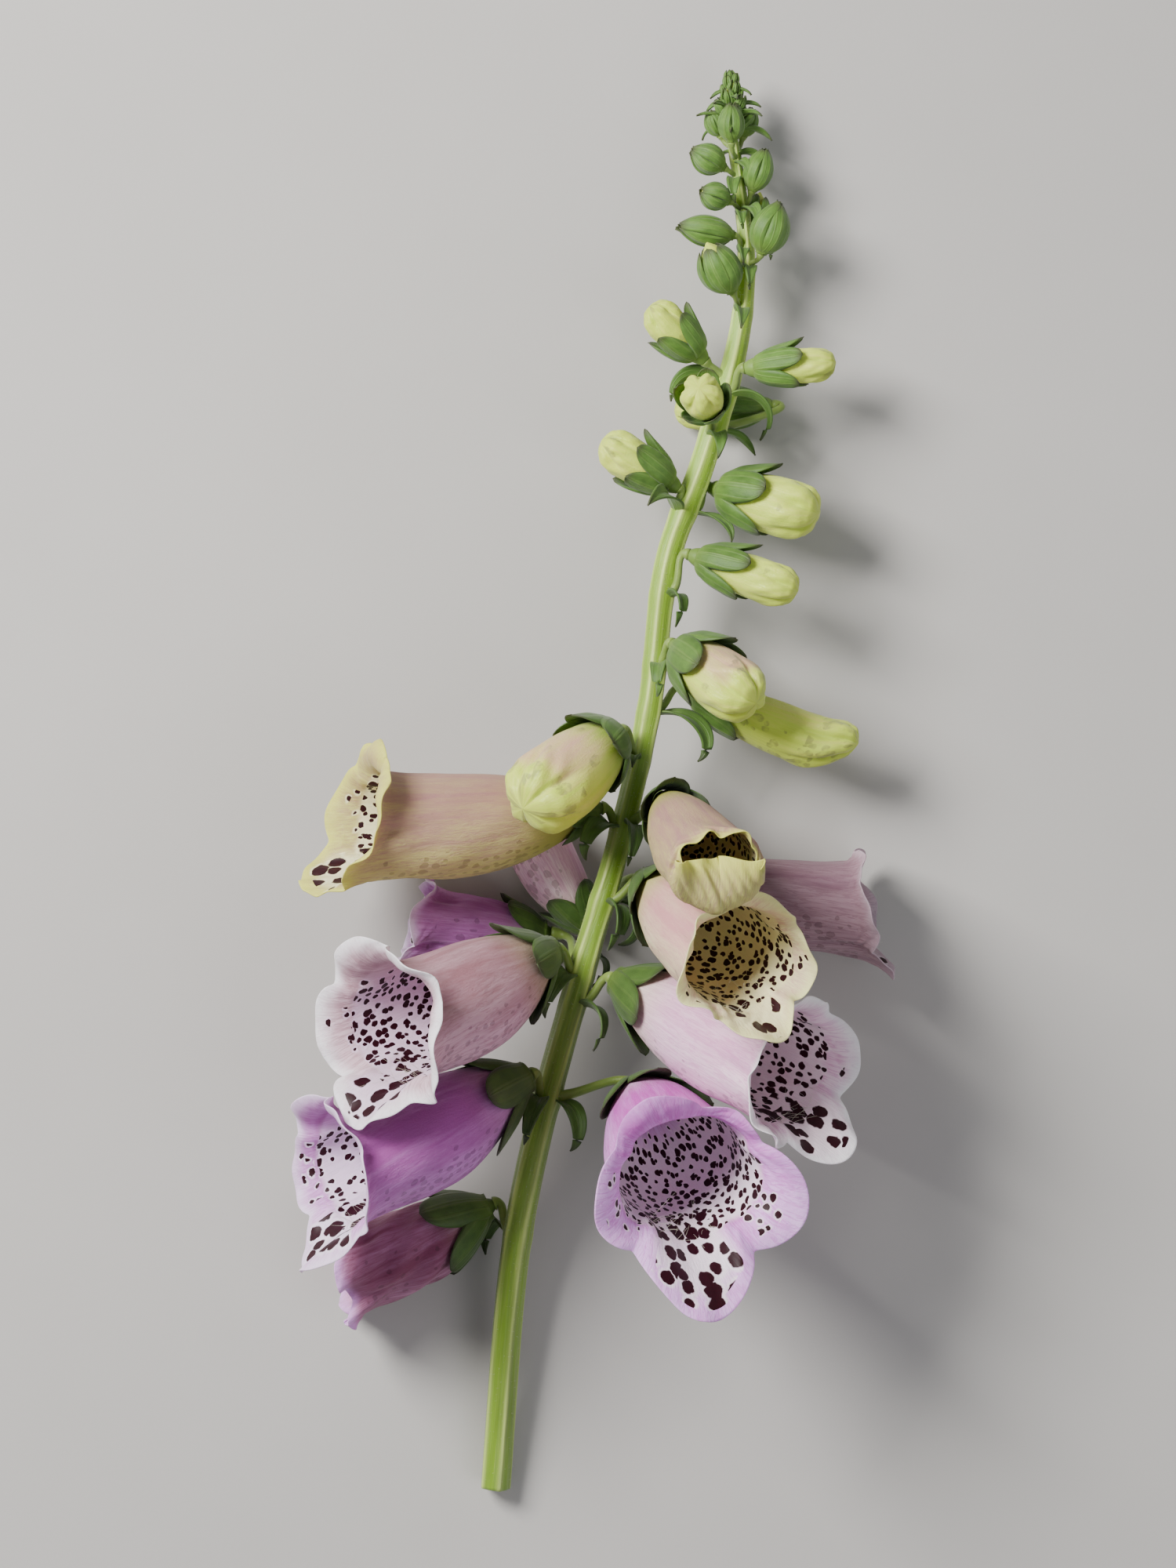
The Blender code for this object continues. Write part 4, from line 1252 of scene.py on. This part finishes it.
def stem_material():
    material, make, surface = new_material("stem_skin")
    place = make.read("place")
    ridge, old, fresh = make.parts(make.read("paint"))
    fibre = make.noise(make.stretch(place, (2.6, 0.09, 1.0)), 1.0, 4.0, 0.65)
    blotch = make.noise(make.stretch(place, (0.3, 0.06, 1.0)), 1.0, 3.0)
    tint = make.mix(blotch, colour(108, 150, 20), colour(164, 202, 44))
    tint = make.mix(make.step(fibre, 0.5, 0.75, 0.0, 0.55), tint, colour(196, 208, 112))
    # Painted highlight: every ridge is made pale yellow green, as if light caught it.
    tint = make.mix(make.times(ridge, 0.8), tint, colour(214, 232, 128))
    old = make.times(old, make.step(blotch, 0.3, 0.7, 0.2, 0.65))
    tint = make.mix(old, tint, colour(72, 98, 20))
    tint = make.mix(make.step(fresh, -0.05, -0.5), tint, colour(206, 206, 160))
    make.link(tint, surface.inputs["Base Color"])
    make.link(make.times_plus(fibre, 0.25, 0.3), surface.inputs["Roughness"])
    surface.inputs["Sheen Weight"].default_value = 0.25
    soften(surface, 0.2, 0.0015, (0.6, 1.0, 0.3))
    relief(make, surface, fibre, 0.4, 0.0004)
    return material


def stamen_material():
    material, make, surface = new_material("stamen_skin")
    place = make.where()
    anther, ovary, _ = make.parts(make.read("paint"))
    speck = make.step(make.noise(place, 1600.0, 2.0), 0.5, 0.6)
    tint = make.mix(speck, colour(226, 214, 168), colour(206, 196, 150))
    pod = make.mix(speck, colour(196, 150, 84), colour(126, 44, 34))
    tint = make.mix(make.step(anther, 0.4, 0.8), tint, pod)
    tint = make.mix(make.times(ovary, 0.8), tint, colour(128, 164, 58))
    make.link(tint, surface.inputs["Base Color"])
    make.link(make.times_plus(speck, 0.15, 0.4), surface.inputs["Roughness"])
    soften(surface, 0.2, 0.001, (1.0, 0.8, 0.5))
    relief(make, surface, speck, 0.3, 0.0002)
    return material


def hair_material():
    material, make, surface = new_material("fine_hair")
    place = make.where()
    tint = make.mix(make.noise(place, 300.0), colour(236, 232, 214), colour(214, 214, 190))
    make.link(tint, surface.inputs["Base Color"])
    surface.inputs["Roughness"].default_value = 0.35
    return material


def floor_material():
    material, make, surface = new_material("plain_floor")
    place = make.where()
    cloud = make.noise(place, 9.0, 4.0, 0.6)
    tint = make.mix(cloud, colour(180, 177, 172), colour(192, 189, 185))
    make.link(tint, surface.inputs["Base Color"])
    surface.inputs["Roughness"].default_value = 0.9
    relief(make, surface, make.noise(place, 900.0, 3.0), 0.08, 0.0003)
    return material


SPOTS = spots_group()
STREAKS = streaks_group()
# Pale and deep ground, margin, white of the throat, foot and spots of each look.
PALETTES = {
    "lilac": ((244, 190, 255), (190, 84, 180), (236, 196, 255),
              (255, 234, 246), (196, 190, 150), (40, 2, 14)),
    "purple": ((226, 172, 232), (162, 86, 156), (246, 228, 255),
               (248, 232, 252), (150, 134, 100), (42, 3, 18)),
    "rose": ((216, 162, 198), (128, 62, 92), (226, 176, 238),
             (216, 168, 208), (120, 110, 70), (42, 3, 18)),
    "dusty": ((214, 186, 196), (152, 108, 118), (254, 246, 252),
              (234, 210, 232), (140, 132, 72), (40, 2, 14)),
    "pink": ((255, 222, 236), (206, 130, 184), (255, 248, 252),
             (250, 224, 234), (186, 190, 116), (40, 2, 14)),
    # Darker, greyer colours for a bell that lies in shade behind the others: painted shade.
    "painted_shade": ((178, 150, 158), (120, 82, 100), (196, 180, 190),
              (206, 190, 198), (130, 128, 84), (46, 8, 20)),
    "cream": ((236, 222, 176), (208, 150, 152), (238, 234, 160),
              (248, 238, 184), (176, 178, 88), (42, 4, 12)),
    "olive": ((196, 190, 116), (164, 120, 118), (214, 214, 100),
              (246, 238, 196), (150, 154, 62), (42, 4, 12)),
}
PETALS = {
    look: petal_material("petal_" + look, *(colour(*each) for each in palette))
    for look, palette in PALETTES.items()
}
BUD_SKIN = bud_material()
LEAF_GREEN = leaf_material()
STALK_GREEN = stalk_material()
STEM_SKIN = stem_material()
STAMEN = stamen_material()
HAIR = hair_material()

# ---------------------------------------------------------------- build

# How far the sepals of young buds reach over the bud, as a share of its length.
SMALL_BUD_COVER = 0.86
GREEN_BUD_COVER = 1.02

for number, bell in enumerate(BELLS, 1):
    build_bell_calyx(number, bell, build_bell(number, bell))
for number, bud in enumerate(LARGE_BUDS, 1):
    build_large_bud(number, bud)
for number, bud in enumerate(SMALL_BUDS, 1):
    build_young_bud(f"small_bud_{number:02d}", bud, number, SMALL_BUD_COVER)
for number, bud in enumerate(GREEN_BUDS, 1):
    build_young_bud(f"green_bud_{number:02d}", bud, 10 + number, GREEN_BUD_COVER)
build_tip()
build_stem()

# ---------------------------------------------------------------- floor, light, camera, in metres

FLOOR_HALF = 1.6
FLOOR_DROP = 0.0004
EYE_HEIGHT = 1.32
LENS = 129
SENSOR = 36
# Name, place, size, power and tint of the lights, which all point at the middle of the spike.
LIGHTS = (
    ("window", (-0.6, 0.42, 0.75), 0.42, 22, (1.0, 0.985, 0.97)),
    ("room", (0.6, -0.5, 0.9), 0.7, 3.5, (0.94, 0.97, 1.0)),
)
LIT_POINT = Vector((0, 0, 0.02))
ROOM_TINT = (0.9, 0.92, 1.0, 1.0)
ROOM_STRENGTH = 0.27


def add_floor():
    mesh = bpy.data.meshes.new("floor")
    corners = [(x * FLOOR_HALF, y * FLOOR_HALF, 0) for x, y in ((-1, -1), (1, -1), (1, 1), (-1, 1))]
    mesh.from_pydata(corners, [], [(0, 1, 2, 3)])
    mesh.materials.append(floor_material())
    floor = bpy.data.objects.new("floor", mesh)
    floor.location.z = -FLOOR_DROP
    bpy.context.scene.collection.objects.link(floor)


def add_light(name, place, size, power, tint):
    light = bpy.data.lights.new(name, "AREA")
    light.energy, light.size, light.color = power, size, tint
    lamp = bpy.data.objects.new(name, light)
    lamp.location = place
    lamp.rotation_euler = (LIT_POINT - Vector(place)).to_track_quat("-Z", "Y").to_euler()
    bpy.context.scene.collection.objects.link(lamp)


def add_camera():
    camera = bpy.data.cameras.new("camera")
    camera.lens, camera.sensor_width = LENS, SENSOR
    eye = bpy.data.objects.new("camera", camera)
    eye.location = (0.0, 0.0, EYE_HEIGHT)
    bpy.context.scene.collection.objects.link(eye)
    bpy.context.scene.camera = eye


def add_room():
    world = bpy.data.worlds.new("room_light")
    world.use_nodes = True
    background = world.node_tree.nodes["Background"]
    background.inputs[0].default_value = ROOM_TINT
    background.inputs[1].default_value = ROOM_STRENGTH
    bpy.context.scene.world = world


add_floor()
for light in LIGHTS:
    add_light(*light)
add_camera()
add_room()
